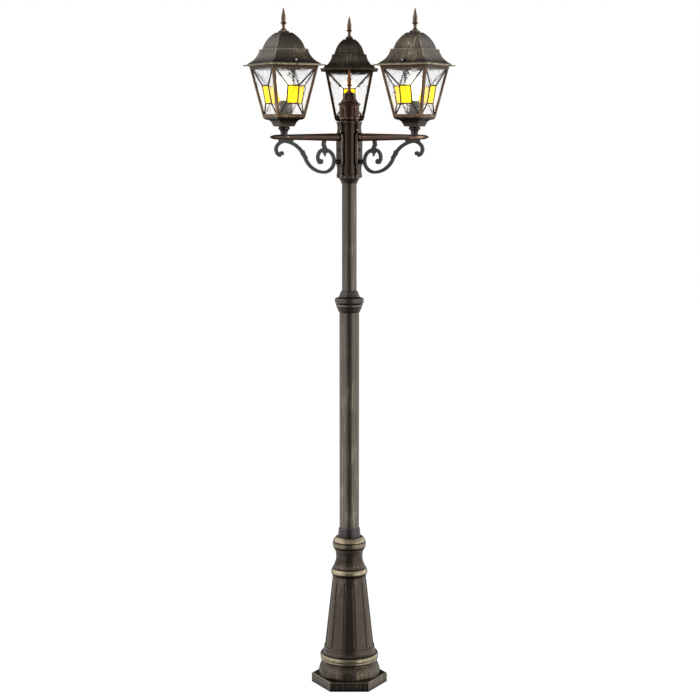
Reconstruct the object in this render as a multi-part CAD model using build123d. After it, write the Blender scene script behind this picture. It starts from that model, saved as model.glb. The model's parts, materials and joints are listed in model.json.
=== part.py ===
"""Triple head garden lamp post: a cast base, two tubes with a reducing collar, a three-armed hub
and three square lanterns with coloured glass.

Millimetres, +Z up. The origin is on the pole's axis, on the ground. The rear arm points along +Y
and the other two come forward, 120 degrees either side of it. Pieces of an arm or a lantern are
drawn along +X, or about their own axis, and are then turned to their arm.
"""

from build123d import *
from math import atan, cos, degrees, sin, sqrt
import os

# ---- named clearances ----
SLIP = 0.1          # round piece in its own bore, same body
SLIDE = 0.3         # between pieces that move past each other, and at a loose edge
RECESS = 1.0        # how far a set screw sits below the surface it is driven into

# ---- base casting, from the ground up: the height and radius of each moulding ----
PLINTH_FLATS = 224.0
PLINTH_HEIGHT = 32.0
PLINTH_BEVEL = 3.0
TORUS_RADIUS = 105.5
TORUS_HEIGHT = 43.0
WAIST_RADIUS = 92.5
WAIST_HEIGHT = 5.0
BEAD_RADIUS = 99.5
BEAD_HEIGHT = 26.0
BEAD_GROOVE = 1.6
COVE_STEP = 2.5
COVE_HEIGHT = 25.0
CONE_BOTTOM_RADIUS = 83.5
CONE_TOP_RADIUS = 56.6
CONE_HEIGHT = 243.0
FLUTE_COUNT = 12
FLUTE_WIDTH = 11.0
FLUTE_DEPTH = 3.0
FLUTE_MARGIN_LOW = 4.0
FLUTE_MARGIN_HIGH = 14.0
RING_RADIUS = 62.3
RING_HEIGHT = 30.0
RING_BAND = 20.0
NECK_FOOT_RADIUS = 57.0
NECK_RADIUS = 45.0
NECK_TOP_RADIUS = 48.0
NECK_HEIGHT = 60.0
BALL_RADIUS = 56.8
BALL_HEIGHT = 48.0
BASE_WALL = 6.5
PLINTH_CAVITY_RADIUS = 86.0
LEDGE_THICKNESS = 20.0
LEDGE_BORE_RADIUS = 22.0

# ---- ground plate and the rod that draws the base down on it ----
PLATE_RADIUS = 84.0
PLATE_THICKNESS = 6.0
ANCHOR_PITCH_DIAMETER = 120.0
ANCHOR_COUNT = 3
ANCHOR_HOLE_RADIUS = 5.5
CABLE_HOLE_RADIUS = 12.0
CABLE_HOLE_OFFSET = 36.0
ROD_RADIUS = 5.0
ROD_PROUD = 5.0
NUT_FLATS = 17.0
NUT_HEIGHT = 8.0
CLAMP_BAR_WIDTH = 20.0
CLAMP_BAR_THICKNESS = 6.0
BLOCK_LENGTH = 46.0
BLOCK_WIDTH = 18.0
BLOCK_HEIGHT = 17.0
BLOCK_POLES = 3
BLOCK_REACH = 50.0
BLOCK_AZIMUTH = 210.0

# ---- pole ----
LOWER_TUBE_RADIUS = 33.1
UPPER_TUBE_RADIUS = 24.5
TUBE_WALL = 2.0
TUBE_SOCKET_DEPTH = 87.0
LOWER_TUBE_LENGTH = 875.0
UPPER_TUBE_LENGTH = 650.0
SLEEVE_RADIUS = 38.5
SLEEVE_LIP = 1.6
SLEEVE_HEIGHT = 29.0

# ---- reducing collar ----
COLLAR_SKIRT = 22.0
COLLAR_CUP_RADIUS = 44.8
COLLAR_BAND_RADIUS = 48.3
COLLAR_BAND_RISE = 5.0
COLLAR_BAND_HEIGHT = 13.0
COLLAR_SHOULDER_RADIUS = 35.5
COLLAR_TOP_RADIUS = 28.0
COLLAR_TOP_HEIGHT = 31.0
COLLAR_SPIGOT = 48.0
COLLAR_LIP = 3.0

# ---- screws ----
SET_SCREW_RADIUS = 3.0
SET_SCREW_SOCKET = 1.5
SET_SCREW_SOCKET_DEPTH = 3.0
SCREW_AZIMUTHS = (270.0, 30.0, 150.0)

# ---- hub: two rings round the tube, joined by three webs that carry the arm plates ----
HUB_HEIGHT = 205.0
HUB_ABOVE_TUBE = 4.5
HUB_TOP_RING_RADIUS = 36.0
HUB_TOP_RING_HEIGHT = 8.0
HUB_CUP_RADIUS = 34.0
HUB_CUP_HEIGHT = 20.0
HUB_CUP_BAND = 9.0
ARM_PLATE_FACE = 40.5
ARM_PLATE_THICKNESS = 6.5
ARM_PLATE_HALF_WIDTH = 17.0
ARM_PLATE_HALF_WAIST = 8.5
ARM_PLATE_NOTCH = 42.0
ARM_PLATE_LOW_NOTCH = 37.0
ARM_PLATE_FOOT = 9.0
WEB_HALF_THICKNESS = 7.0
ARM_BELOW_HUB_TOP = 51.5
HUB_SCREW_DROP = 41.0
HUB_SCREW_RADIUS = 3.0
HUB_SCREW_HEAD_RADIUS = 5.5
HUB_SCREW_HEAD_HEIGHT = 3.0

# ---- hub cap ----
CAP_NECK_RADIUS = 30.0
CAP_NECK_HEIGHT = 9.0
CAP_DRUM_RADIUS = 32.7
CAP_DRUM_HEIGHT = 42.0
CAP_FLANGE_RADIUS = 36.8
CAP_FLANGE_HEIGHT = 9.0
CAP_BELL_HEIGHT = 33.5
CAP_BELL_RADIUS = 21.5
CAP_TOP_RADIUS = 16.5
CAP_WALL = 3.5
CAP_SPIGOT = 14.0

# ---- finial, the same on the hub and on each roof ----
FINIAL_HEIGHT = 73.0
FINIAL_BASE_RADIUS = 10.6
FINIAL_NECK_RADIUS = 5.4
FINIAL_DISC_RADIUS = 10.9
FINIAL_DISC_LEVEL = 25.0
FINIAL_SPEAR_RADIUS = 7.4
FINIAL_TIP_RADIUS = 0.5
FINIAL_STUD_RADIUS = 3.0
FINIAL_STUD_LENGTH = 10.0

# ---- arms and scroll brackets ----
LANTERN_REACH = 243.0
ARM_ROOT_RADIUS = 13.2
ARM_END_RADIUS = 7.7
ARM_END = 275.0
ARM_TIP = 295.5
ARM_TIP_RADIUS = 0.8
ARM_SPIGOT_RADIUS = 9.0
ARM_BORE_RADIUS = 4.0
SCROLL_WIDTH = 10.0
SCROLL_THICKNESS = 9.0
SCROLL_LOOP_REACH = 95.0
SCROLL_LOOP_RADIUS = 37.0
SCROLL_LOOP_TURN = 174.0
SCROLL_DROP = 114.0
SCROLL_KNOB_RADIUS = 8.7
SCROLL_HOOK_KNOB_RADIUS = 7.0
SCROLL_STEM_WIDTH = 12.0
SCROLL_EYE_REACH = 109.0
SCROLL_EYE_DROP = 79.0
SCROLL_RISE_REACH = 166.0
SCROLL_RISE_DROP = 67.0
SCROLL_CREST_REACH = 236.0
SCROLL_CREST_DROP = 14.0
SCROLL_HOOK_REACH = 252.5
SCROLL_HOOK_DROP = 52.0
SCROLL_KNEE_REACH = 2.5
SCROLL_KNEE_DROP = 24.0
SCROLL_SEAT_LENGTH = 52.0
SCROLL_LEAF = ((-9, 1), (-1, 11), (5, 25), (9, 18), (17, 15), (6, 1), (-2, -5))
SCROLL_THORN = ((-21, -8), (9, -4), (2, -13), (-4, -23), (-5, -13))
SCROLL_BOLT_DROP = 80.0
SCROLL_BOLT_RADIUS = 7.5
SCROLL_SHANK_RADIUS = 3.0

# ---- lantern: half-sides of the square and heights above the arm's axis ----
SPINDLE_FOOT_RADIUS = 11.0
SPINDLE_FLANGE_RADIUS = 19.2
SPINDLE_NECK_RADIUS = 17.8
TRAY_RISE = 34.0
TRAY_FOOT_HALF = 25.5
TRAY_COVE_HALF = 38.5
TRAY_HEIGHT = 31.0
TRAY_WELL_DEPTH = 10.0
TRAY_WELL_HALF = 34.0
NIPPLE_RADIUS = 5.0
CAGE_BOTTOM_HALF = 50.8
CAGE_TOP_HALF = 82.6
CAGE_HEIGHT = 162.0
CAGE_WALL = 3.0
POST_WIDTH = 9.0
BOTTOM_RAIL = 8.0
TOP_RAIL = 11.0
GLASS_THICKNESS = 2.0
CAME_WIDTH = 4.0
CAME_THICKNESS = 4.0
CAME_WEB = 1.2
AMBER_HALF_WIDTH = 19.9
AMBER_LOW = 42.0
AMBER_HEIGHT = 58.0
HOLDER_RADIUS = 17.4
HOLDER_HEIGHT = 61.0
HOLDER_SOCKET_RADIUS = 14.2
HOLDER_SOCKET_DEPTH = 27.0
BULB_CAP_RADIUS = 13.2
BULB_CAP_PROUD = 1.5
BULB_RADIUS = 30.0
BULB_WALL = 1.0
BULB_HEIGHT = 79.0

# ---- roof ----
RIM_HALF = 97.5
RIM_THICKNESS = 4.0
SKIRT_LOW_HALF = 87.5
SKIRT_MID_HALF = 65.5
SKIRT_TOP_HALF = 58.3
SKIRT_HEIGHT = 49.0
SKIRT_EDGE = 3.0
SKIRT_MID_SHARE = 0.52
DOME_FOOT_HALF = 51.0
DOME_MID_HALF = 42.4
DOME_TOP_HALF = 20.0
DOME_HEIGHT = 52.0
BLOCK_HALF = 12.7
ROOF_BLOCK_HEIGHT = 6.0
ROOF_WALL = 3.5
ROOF_SCREW_RISE = 16.0
ROOF_SCREW_RADIUS = 2.0
ROOF_SCREW_HEAD_RADIUS = 3.6
ROOF_SCREW_HEAD_HEIGHT = 2.6
ROOF_BOSS_RADIUS = 4.6
SCREW_SLOT = 1.2
TAB_HALF_WIDTH = 9.0
TAB_THICKNESS = 3.0
TAB_INSET = 20.0
TAB_ABOVE_SCREW = 5.0

ARM_AZIMUTHS = {"left": 210.0, "right": 330.0, "rear": 90.0}

# ---- levels worked out from the sizes above ----
torus_top = PLINTH_HEIGHT + TORUS_HEIGHT
waist_top = torus_top + WAIST_HEIGHT
bead_top = waist_top + BEAD_HEIGHT
cone_foot = bead_top + COVE_HEIGHT
cone_top = cone_foot + CONE_HEIGHT
ring_top = cone_top + RING_HEIGHT
neck_top = ring_top + NECK_HEIGHT
ball_top = neck_top + BALL_HEIGHT
ledge_top = ball_top - TUBE_SOCKET_DEPTH
lower_tube_top = ledge_top + LOWER_TUBE_LENGTH
upper_tube_foot = lower_tube_top - COLLAR_SPIGOT + COLLAR_LIP
upper_tube_top = upper_tube_foot + UPPER_TUBE_LENGTH
hub_top = upper_tube_top + HUB_ABOVE_TUBE
hub_foot = hub_top - HUB_HEIGHT
cup_top = hub_foot + HUB_CUP_HEIGHT + HUB_CUP_BAND
arm_level = hub_top - ARM_BELOW_HUB_TOP
cap_top = hub_top + CAP_NECK_HEIGHT + CAP_DRUM_HEIGHT + CAP_FLANGE_HEIGHT + CAP_BELL_HEIGHT
tray_foot = arm_level + TRAY_RISE
tray_top = tray_foot + TRAY_HEIGHT
tray_floor = tray_top - TRAY_WELL_DEPTH
cage_top = tray_top + CAGE_HEIGHT
skirt_foot = cage_top + RIM_THICKNESS
dome_foot = skirt_foot + SKIRT_HEIGHT
dome_top = dome_foot + DOME_HEIGHT
roof_top = dome_top + ROOF_BLOCK_HEIGHT
holder_top = tray_floor + HOLDER_HEIGHT

lower_tube_bore = LOWER_TUBE_RADIUS - TUBE_WALL
upper_tube_bore = UPPER_TUBE_RADIUS - TUBE_WALL
arm_plate_back = ARM_PLATE_FACE - ARM_PLATE_THICKNESS
cage_slope = (CAGE_TOP_HALF - CAGE_BOTTOM_HALF) / CAGE_HEIGHT
cage_tilt = atan(cage_slope)
LONG = 400.0        # longer than any square piece, for cutting and mitring


def outline(*steps):
    """Closed face in the XZ plane; a step is a point, or a (via, end) pair reached by an arc."""
    edges = []
    here = steps[0]
    for step in steps[1:] + steps[:1]:
        if isinstance(step[0], tuple):
            edges.append(ThreePointArc(here, step[0], step[1]))
            here = step[1]
        else:
            edges.append(Line(here, step))
            here = step
    return Plane.XZ * make_face(edges)


def turned(*steps):
    """Solid of revolution about the Z axis."""
    return revolve(outline(*steps), Axis.Z)


def rod(radius, low, high):
    """Upright cylinder between two levels."""
    return Pos(0, 0, low) * extrude(Circle(radius), high - low)


def radial(profile, near, far, level):
    """Prism of a profile along +X, from near to far, at a level."""
    return Pos(near, 0, level) * Rot(0, 90, 0) * extrude(profile, far - near)


def mitred(*half):
    """Square moulding: a half outline run both ways and intersected, so that its corners mitre."""
    face = outline(*half)
    run = extrude(face + mirror(face, Plane.YZ), LONG, both=True)
    return run & (Rot(0, 0, 90) * run)


def around(piece, azimuths, reach=0.0):
    """Copies of a piece turned about the pole's axis."""
    return [Rot(0, 0, azimuth) * Pos(reach, 0, 0) * piece for azimuth in azimuths]


def four(piece):
    """The same piece on each side of a square."""
    return around(piece, (0, 90, 180, 270))


# ---------------------------------------------------------------- base

def flute_cutter():
    """Round-ended cutter that lies along the cone and leaves a shallow flute."""
    radius = ((FLUTE_WIDTH / 2) ** 2 + FLUTE_DEPTH ** 2) / (2 * FLUTE_DEPTH)
    lean = atan((CONE_BOTTOM_RADIUS - CONE_TOP_RADIUS) / CONE_HEIGHT)
    low = cone_foot + FLUTE_MARGIN_LOW + radius
    high = cone_top - FLUTE_MARGIN_HIGH - radius
    middle = (low + high) / 2
    share = (middle - cone_foot) / CONE_HEIGHT
    surface = CONE_BOTTOM_RADIUS + share * (CONE_TOP_RADIUS - CONE_BOTTOM_RADIUS)
    length = (high - low) / cos(lean)
    capsule = Cylinder(radius, length)
    capsule += Pos(0, 0, length / 2) * Sphere(radius)
    capsule += Pos(0, 0, -length / 2) * Sphere(radius)
    out = (radius - FLUTE_DEPTH) / cos(lean)
    return Pos(surface + out, 0, middle) * Rot(0, -degrees(lean), 0) * capsule


def base_casting():
    plinth = extrude(RegularPolygon(PLINTH_FLATS / 2, 6, major_radius=False), PLINTH_HEIGHT)
    plinth = chamfer(plinth.faces().sort_by(Axis.Z)[-1].edges(), PLINTH_BEVEL)
    bead_middle = waist_top + BEAD_HEIGHT * 0.46
    bead_side = BEAD_RADIUS - BEAD_GROOVE
    bead_foot = WAIST_RADIUS + 1.5
    cove_edge = BEAD_RADIUS - 2 * COVE_STEP
    cove_middle = (bead_top + cone_foot) / 2
    cove_bottom = bead_top + COVE_STEP
    cove_waist = (cove_edge + CONE_BOTTOM_RADIUS) / 2 - COVE_STEP / 2
    ring_lip = (RING_HEIGHT - RING_BAND) / 2
    mouldings = turned(
        (0, PLINTH_HEIGHT / 2),
        (TORUS_RADIUS - 1, PLINTH_HEIGHT / 2),
        (TORUS_RADIUS - 1, PLINTH_HEIGHT),
        ((TORUS_RADIUS - 2.5, PLINTH_HEIGHT + TORUS_HEIGHT / 2), (WAIST_RADIUS, torus_top)),
        (WAIST_RADIUS, waist_top),
        (bead_foot, waist_top),
        ((bead_side, waist_top + BEAD_HEIGHT * 0.2), (bead_side, bead_middle - BEAD_GROOVE)),
        (bead_side - BEAD_GROOVE, bead_middle),
        (bead_side + BEAD_GROOVE / 2, bead_middle + BEAD_GROOVE),
        ((BEAD_RADIUS, waist_top + BEAD_HEIGHT * 0.72), (cove_edge + 2, bead_top)),
        (cove_edge, bead_top),
        (cove_edge, cove_bottom),
        ((cove_waist, cove_middle), (CONE_BOTTOM_RADIUS + COVE_STEP, cone_foot - COVE_STEP)),
        (CONE_BOTTOM_RADIUS + COVE_STEP, cone_foot),
        (CONE_BOTTOM_RADIUS, cone_foot),
        (CONE_TOP_RADIUS, cone_top),
        (CONE_TOP_RADIUS + 2, cone_top + ring_lip),
        ((RING_RADIUS, cone_top + RING_HEIGHT / 2), (NECK_FOOT_RADIUS + 2, ring_top - ring_lip)),
        (NECK_FOOT_RADIUS, ring_top),
        ((NECK_RADIUS, ring_top + NECK_HEIGHT * 0.68), (NECK_TOP_RADIUS, neck_top)),
        ((BALL_RADIUS, base_screw_level()), (SLEEVE_RADIUS + 8, ball_top - 2)),
        (SLEEVE_RADIUS + 5, ball_top),
        (0, ball_top),
    )
    cavity = turned(
        (0, 0),
        (PLINTH_CAVITY_RADIUS, 0),
        (PLINTH_CAVITY_RADIUS, waist_top),
        (CONE_BOTTOM_RADIUS - BASE_WALL, cone_foot),
        (CONE_TOP_RADIUS - BASE_WALL, cone_top),
        (LEDGE_BORE_RADIUS, ledge_top - LEDGE_THICKNESS),
        (LEDGE_BORE_RADIUS, ledge_top),
        (LOWER_TUBE_RADIUS + SLIP, ledge_top),
        (LOWER_TUBE_RADIUS + SLIP, ball_top),
        (0, ball_top),
    )
    turns = [360 / FLUTE_COUNT * (n + 0.5) for n in range(FLUTE_COUNT)]
    casting = plinth + mouldings - cavity
    casting -= around(flute_cutter(), turns)
    screw_bore = Circle(SET_SCREW_RADIUS + SLIP)
    screw_hole = radial(screw_bore, LOWER_TUBE_RADIUS, BALL_RADIUS + 1, base_screw_level())
    return casting - around(screw_hole, SCREW_AZIMUTHS)


def base_screw_level():
    return neck_top + BALL_HEIGHT * 0.45


def base_sleeve():
    """Tapered sleeve that closes the joint between the base and the lower tube."""
    bore = LOWER_TUBE_RADIUS + SLIP
    top = ball_top + SLEEVE_HEIGHT
    return turned(
        (bore, ball_top),
        (SLEEVE_RADIUS, ball_top),
        (bore + SLEEVE_LIP * 1.8, top - SLEEVE_LIP),
        (bore + SLEEVE_LIP, top),
        (bore, top),
    )


def ground_plate():
    plate = Circle(PLATE_RADIUS) - Circle(ROD_RADIUS + SLIP)
    anchors = [Pos(ANCHOR_PITCH_DIAMETER / 2, 0) * Circle(ANCHOR_HOLE_RADIUS)]
    turns = [30 + 360 / ANCHOR_COUNT * n for n in range(ANCHOR_COUNT)]
    plate -= [Rot(0, 0, turn) * hole for turn in turns for hole in anchors]
    plate -= Pos(0, CABLE_HOLE_OFFSET) * Circle(CABLE_HOLE_RADIUS)
    return extrude(plate, PLATE_THICKNESS)


def tie_rod():
    high = ledge_top + CLAMP_BAR_THICKNESS + NUT_HEIGHT + ROD_PROUD
    return chamfer(rod(ROD_RADIUS, 0, high).edges(), 1)


def clamp_bar():
    """Bar across the ledge inside the tube's foot; the leads pass on either side of it."""
    bar = Rectangle(2 * lower_tube_bore, CLAMP_BAR_WIDTH) & Circle(lower_tube_bore - 1)
    bar -= Circle(ROD_RADIUS + SLIP)
    return Pos(0, 0, ledge_top) * extrude(bar, CLAMP_BAR_THICKNESS)


def tie_nuts():
    hexagon = RegularPolygon(NUT_FLATS / 2, 6, major_radius=False)
    nut = extrude(hexagon - Circle(ROD_RADIUS + SLIP), NUT_HEIGHT)
    return [Pos(0, 0, PLATE_THICKNESS) * nut, Pos(0, 0, ledge_top + CLAMP_BAR_THICKNESS) * nut]


def terminal_block():
    """Row of wire clamps on the ground plate, with a wire bore and a screw well to each pole."""
    step = BLOCK_HEIGHT * 0.6
    pitch = BLOCK_LENGTH / BLOCK_POLES
    block = extrude(Rectangle(BLOCK_LENGTH, BLOCK_WIDTH), step)
    block += Pos(0, 0, step) * extrude(Rectangle(BLOCK_LENGTH, BLOCK_WIDTH * 0.6), BLOCK_HEIGHT - step)
    for pole in range(BLOCK_POLES):
        along = (pole - (BLOCK_POLES - 1) / 2) * pitch
        block -= Pos(along, 0, step / 2) * Rot(90, 0, 0) * Cylinder(pitch * 0.16, 2 * BLOCK_WIDTH)
        block -= Pos(along, 0, BLOCK_HEIGHT - 2) * Cylinder(pitch * 0.2, 4.1)
    return Rot(0, 0, BLOCK_AZIMUTH) * Pos(BLOCK_REACH, 0, PLATE_THICKNESS) * Rot(0, 0, 90) * block


# ---------------------------------------------------------------- pole

def lower_tube():
    tube = rod(LOWER_TUBE_RADIUS, ledge_top, lower_tube_top)
    return tube - rod(lower_tube_bore, ledge_top, lower_tube_top)


def upper_tube():
    tube = rod(UPPER_TUBE_RADIUS, upper_tube_foot, upper_tube_top)
    tube -= rod(upper_tube_bore, upper_tube_foot, upper_tube_top)
    far = UPPER_TUBE_RADIUS + 1
    lead_hole = radial(Circle(ARM_BORE_RADIUS), 0, far, arm_level)
    screw_hole = radial(Circle(HUB_SCREW_RADIUS + SLIP), 0, far, arm_level - HUB_SCREW_DROP)
    return tube - around(lead_hole + screw_hole, ARM_AZIMUTHS.values())


def mid_collar():
    """Reducing collar: skirt outside the lower tube, spigot inside it, socket for the upper tube."""
    skirt_foot_level = lower_tube_top - COLLAR_SKIRT
    band_foot = lower_tube_top + COLLAR_BAND_RISE
    band_top = band_foot + COLLAR_BAND_HEIGHT
    top = band_top + COLLAR_TOP_HEIGHT
    spigot_foot = lower_tube_top - COLLAR_SPIGOT
    cup_waist = ((COLLAR_CUP_RADIUS + LOWER_TUBE_RADIUS) / 2 + 1.5, skirt_foot_level + COLLAR_SKIRT * 0.56)
    body = turned(
        (0, skirt_foot_level),
        (LOWER_TUBE_RADIUS + 1.2, skirt_foot_level),
        (cup_waist, (COLLAR_CUP_RADIUS - 1.5, lower_tube_top - 2)),
        (COLLAR_CUP_RADIUS, lower_tube_top - 1),
        (COLLAR_CUP_RADIUS, band_foot),
        (COLLAR_BAND_RADIUS, band_foot),
        (COLLAR_BAND_RADIUS, band_top),
        (COLLAR_BAND_RADIUS - 2, band_top + 1.5),
        ((COLLAR_SHOULDER_RADIUS, band_top + COLLAR_TOP_HEIGHT * 0.45), (COLLAR_TOP_RADIUS, top - 3)),
        (UPPER_TUBE_RADIUS + 1, top),
        (0, top),
    )
    body -= rod(LOWER_TUBE_RADIUS + SLIP, skirt_foot_level, lower_tube_top)
    body += rod(lower_tube_bore - SLIP, spigot_foot, lower_tube_top)
    body -= rod(UPPER_TUBE_RADIUS + SLIP, upper_tube_foot, top)
    body -= rod(upper_tube_bore - 1, spigot_foot, upper_tube_foot)
    screw_bore = Circle(SET_SCREW_RADIUS + SLIP)
    screw_hole = radial(screw_bore, UPPER_TUBE_RADIUS, COLLAR_BAND_RADIUS + 1, collar_screw_level())
    return body - around(screw_hole, SCREW_AZIMUTHS)


def collar_screw_level():
    return lower_tube_top + COLLAR_BAND_RISE + COLLAR_BAND_HEIGHT / 2


def set_screw(near, far, level):
    """Headless screw with a hexagon socket, driven in towards the tube."""
    screw = radial(Circle(SET_SCREW_RADIUS), near, far, level)
    socket = RegularPolygon(SET_SCREW_SOCKET, 6)
    return screw - radial(socket, far - SET_SCREW_SOCKET_DEPTH, far, level)


def set_screws():
    places = (
        (LOWER_TUBE_RADIUS, BALL_RADIUS, base_screw_level()),
        (UPPER_TUBE_RADIUS, COLLAR_BAND_RADIUS, collar_screw_level()),
        (UPPER_TUBE_RADIUS, HUB_CUP_RADIUS, hub_screw_level()),
    )
    rings = [around(set_screw(near, far - RECESS, level), SCREW_AZIMUTHS) for near, far, level in places]
    return [screw for ring in rings for screw in ring]


def hub_screw_level():
    return cup_top - HUB_CUP_BAND / 2


# ---------------------------------------------------------------- hub

def arm_plate():
    """Flat face that carries an arm: waisted above and below, so that the tube shows past its edges."""
    top = hub_top - 1
    foot = hub_foot + HUB_CUP_HEIGHT
    high_notch_foot = top - ARM_PLATE_NOTCH
    low_notch_top = foot + ARM_PLATE_FOOT + ARM_PLATE_LOW_NOTCH
    wide, waist = ARM_PLATE_HALF_WIDTH, ARM_PLATE_HALF_WAIST
    face = outline(
        (0, foot),
        (wide - 4, foot),
        (wide - 2, foot + ARM_PLATE_FOOT),
        ((waist + 2, foot + ARM_PLATE_FOOT + ARM_PLATE_LOW_NOTCH / 2), (wide, low_notch_top)),
        (wide, high_notch_foot),
        ((waist, top - ARM_PLATE_NOTCH / 2), (wide, top)),
        (0, top),
    )
    face += mirror(face, Plane.YZ)
    return Pos(ARM_PLATE_FACE, 0, 0) * Rot(0, 0, -90) * extrude(face, ARM_PLATE_THICKNESS)


def hub_casting():
    top_ring = turned(
        (0, hub_top - HUB_TOP_RING_HEIGHT),
        (HUB_TOP_RING_RADIUS - 2, hub_top - HUB_TOP_RING_HEIGHT),
        (HUB_TOP_RING_RADIUS, hub_top - HUB_TOP_RING_HEIGHT + 2),
        (HUB_TOP_RING_RADIUS, hub_top - 1),
        (HUB_TOP_RING_RADIUS - 1, hub_top),
        (0, hub_top),
    )
    cup_rim = hub_foot + HUB_CUP_HEIGHT
    cup_middle = (UPPER_TUBE_RADIUS + HUB_CUP_RADIUS) / 2
    cup = turned(
        (0, hub_foot),
        (UPPER_TUBE_RADIUS + 1, hub_foot),
        ((cup_middle + 1, hub_foot + HUB_CUP_HEIGHT * 0.6), (HUB_CUP_RADIUS + 2, cup_rim)),
        (HUB_CUP_RADIUS + 2, cup_rim + 2),
        (HUB_CUP_RADIUS, cup_rim + 3),
        (HUB_CUP_RADIUS, cup_top - 1),
        (HUB_CUP_RADIUS - 1, cup_top),
        (0, cup_top),
    )
    web_length = arm_plate_back + 1
    web = Pos(web_length / 2, 0, (cup_rim + hub_top) / 2)
    web *= Box(web_length, 2 * WEB_HALF_THICKNESS, hub_top - cup_rim - 2)
    wing = arm_plate() + web
    wing -= radial(Circle(ARM_SPIGOT_RADIUS + SLIP), UPPER_TUBE_RADIUS, ARM_PLATE_FACE, arm_level)
    wing -= radial(Circle(HUB_SCREW_RADIUS + SLIP), 0, ARM_PLATE_FACE, arm_level - HUB_SCREW_DROP)
    bolt_bore = Circle(SCROLL_SHANK_RADIUS + SLIP)
    wing -= radial(bolt_bore, UPPER_TUBE_RADIUS, ARM_PLATE_FACE, arm_level - SCROLL_BOLT_DROP)
    casting = top_ring + cup
    for copy in around(wing, ARM_AZIMUTHS.values()):
        casting += copy
    casting -= rod(UPPER_TUBE_RADIUS + SLIP, hub_foot, hub_top)
    screw_bore = Circle(SET_SCREW_RADIUS + SLIP)
    screw_hole = radial(screw_bore, UPPER_TUBE_RADIUS, HUB_CUP_RADIUS + 1, hub_screw_level())
    return casting - around(screw_hole, SCREW_AZIMUTHS)


def hub_screws():
    """One screw through each arm plate into the tube."""
    level = arm_level - HUB_SCREW_DROP
    shank = radial(Circle(HUB_SCREW_RADIUS), upper_tube_bore, ARM_PLATE_FACE, level)
    head_face = ARM_PLATE_FACE + HUB_SCREW_HEAD_HEIGHT
    head = radial(Circle(HUB_SCREW_HEAD_RADIUS), ARM_PLATE_FACE, head_face, level)
    head = chamfer(head.faces().sort_by(Axis.X)[-1].edges(), 1)
    return around(shank + head, ARM_AZIMUTHS.values())


def hub_cap():
    neck_level = hub_top + CAP_NECK_HEIGHT
    drum_top = neck_level + CAP_DRUM_HEIGHT
    flange_top = drum_top + CAP_FLANGE_HEIGHT
    flange_middle = (drum_top + flange_top) / 2
    spigot = upper_tube_bore - SLIP
    outer = turned(
        (0, hub_top - CAP_SPIGOT),
        (spigot, hub_top - CAP_SPIGOT),
        (spigot, hub_top),
        (CAP_NECK_RADIUS, hub_top),
        (CAP_NECK_RADIUS, neck_level),
        (CAP_DRUM_RADIUS + 1, neck_level),
        (CAP_DRUM_RADIUS + 1, neck_level + 2),
        (CAP_DRUM_RADIUS, neck_level + 3),
        (CAP_DRUM_RADIUS, drum_top),
        ((CAP_FLANGE_RADIUS, flange_middle), (CAP_DRUM_RADIUS, flange_top)),
        (CAP_DRUM_RADIUS - 4, flange_top + 3),
        ((CAP_BELL_RADIUS, flange_top + CAP_BELL_HEIGHT * 0.5), (CAP_TOP_RADIUS, cap_top)),
        (0, cap_top),
    )
    hollow = turned(
        (0, hub_top - CAP_SPIGOT),
        (spigot - CAP_WALL, hub_top - CAP_SPIGOT),
        (spigot - CAP_WALL, hub_top + CAP_WALL),
        (CAP_NECK_RADIUS - CAP_WALL, hub_top + CAP_WALL),
        (CAP_NECK_RADIUS - CAP_WALL, drum_top),
        (CAP_BELL_RADIUS - CAP_WALL, flange_top),
        (FINIAL_STUD_RADIUS + CAP_WALL, cap_top - FINIAL_STUD_LENGTH),
        (0, cap_top - FINIAL_STUD_LENGTH),
    )
    stud_hole = rod(FINIAL_STUD_RADIUS + SLIP, cap_top - FINIAL_STUD_LENGTH - 1, cap_top)
    return outer - hollow - stud_hole


def finial(level):
    """Spear on a collared stem, with the stud that screws into what carries it."""
    disc = level + FINIAL_DISC_LEVEL
    spear_foot = disc + 3
    spear_belly = level + FINIAL_HEIGHT * 0.5
    neck = level + FINIAL_DISC_LEVEL * 0.6
    spear_shoulder = level + FINIAL_HEIGHT * 0.72
    top = level + FINIAL_HEIGHT
    return turned(
        (0, level - FINIAL_STUD_LENGTH),
        (FINIAL_STUD_RADIUS, level - FINIAL_STUD_LENGTH),
        (FINIAL_STUD_RADIUS, level),
        (FINIAL_BASE_RADIUS, level),
        (FINIAL_BASE_RADIUS, level + 3.5),
        ((FINIAL_NECK_RADIUS + 0.8, level + 7), (FINIAL_NECK_RADIUS, neck)),
        ((FINIAL_NECK_RADIUS + 1.4, disc - 4), (FINIAL_DISC_RADIUS - 1, disc - 1.5)),
        (FINIAL_DISC_RADIUS, disc),
        (FINIAL_DISC_RADIUS - 1, disc + 1.5),
        (FINIAL_NECK_RADIUS + 0.6, spear_foot),
        ((FINIAL_SPEAR_RADIUS, spear_belly), (FINIAL_SPEAR_RADIUS * 0.72, spear_shoulder)),
        ((FINIAL_SPEAR_RADIUS * 0.42, level + FINIAL_HEIGHT * 0.88), (FINIAL_TIP_RADIUS, top)),
        (0, top),
    )


# ---------------------------------------------------------------- arms

def arm_solid(extra=0.0):
    """Outer form of an arm along +X, tapered to a blunt point; extra thickens it for cutting seats."""
    root, end = ARM_ROOT_RADIUS + extra, ARM_END_RADIUS + extra
    shape = outline(
        (ARM_PLATE_FACE, 0),
        (ARM_PLATE_FACE, root),
        (ARM_END, end),
        ((ARM_END + (ARM_TIP - ARM_END) * 0.6, end * 0.62), (ARM_TIP, ARM_TIP_RADIUS)),
        (ARM_TIP, 0),
    )
    return Pos(0, 0, arm_level) * revolve(shape, Axis.X)


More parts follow.
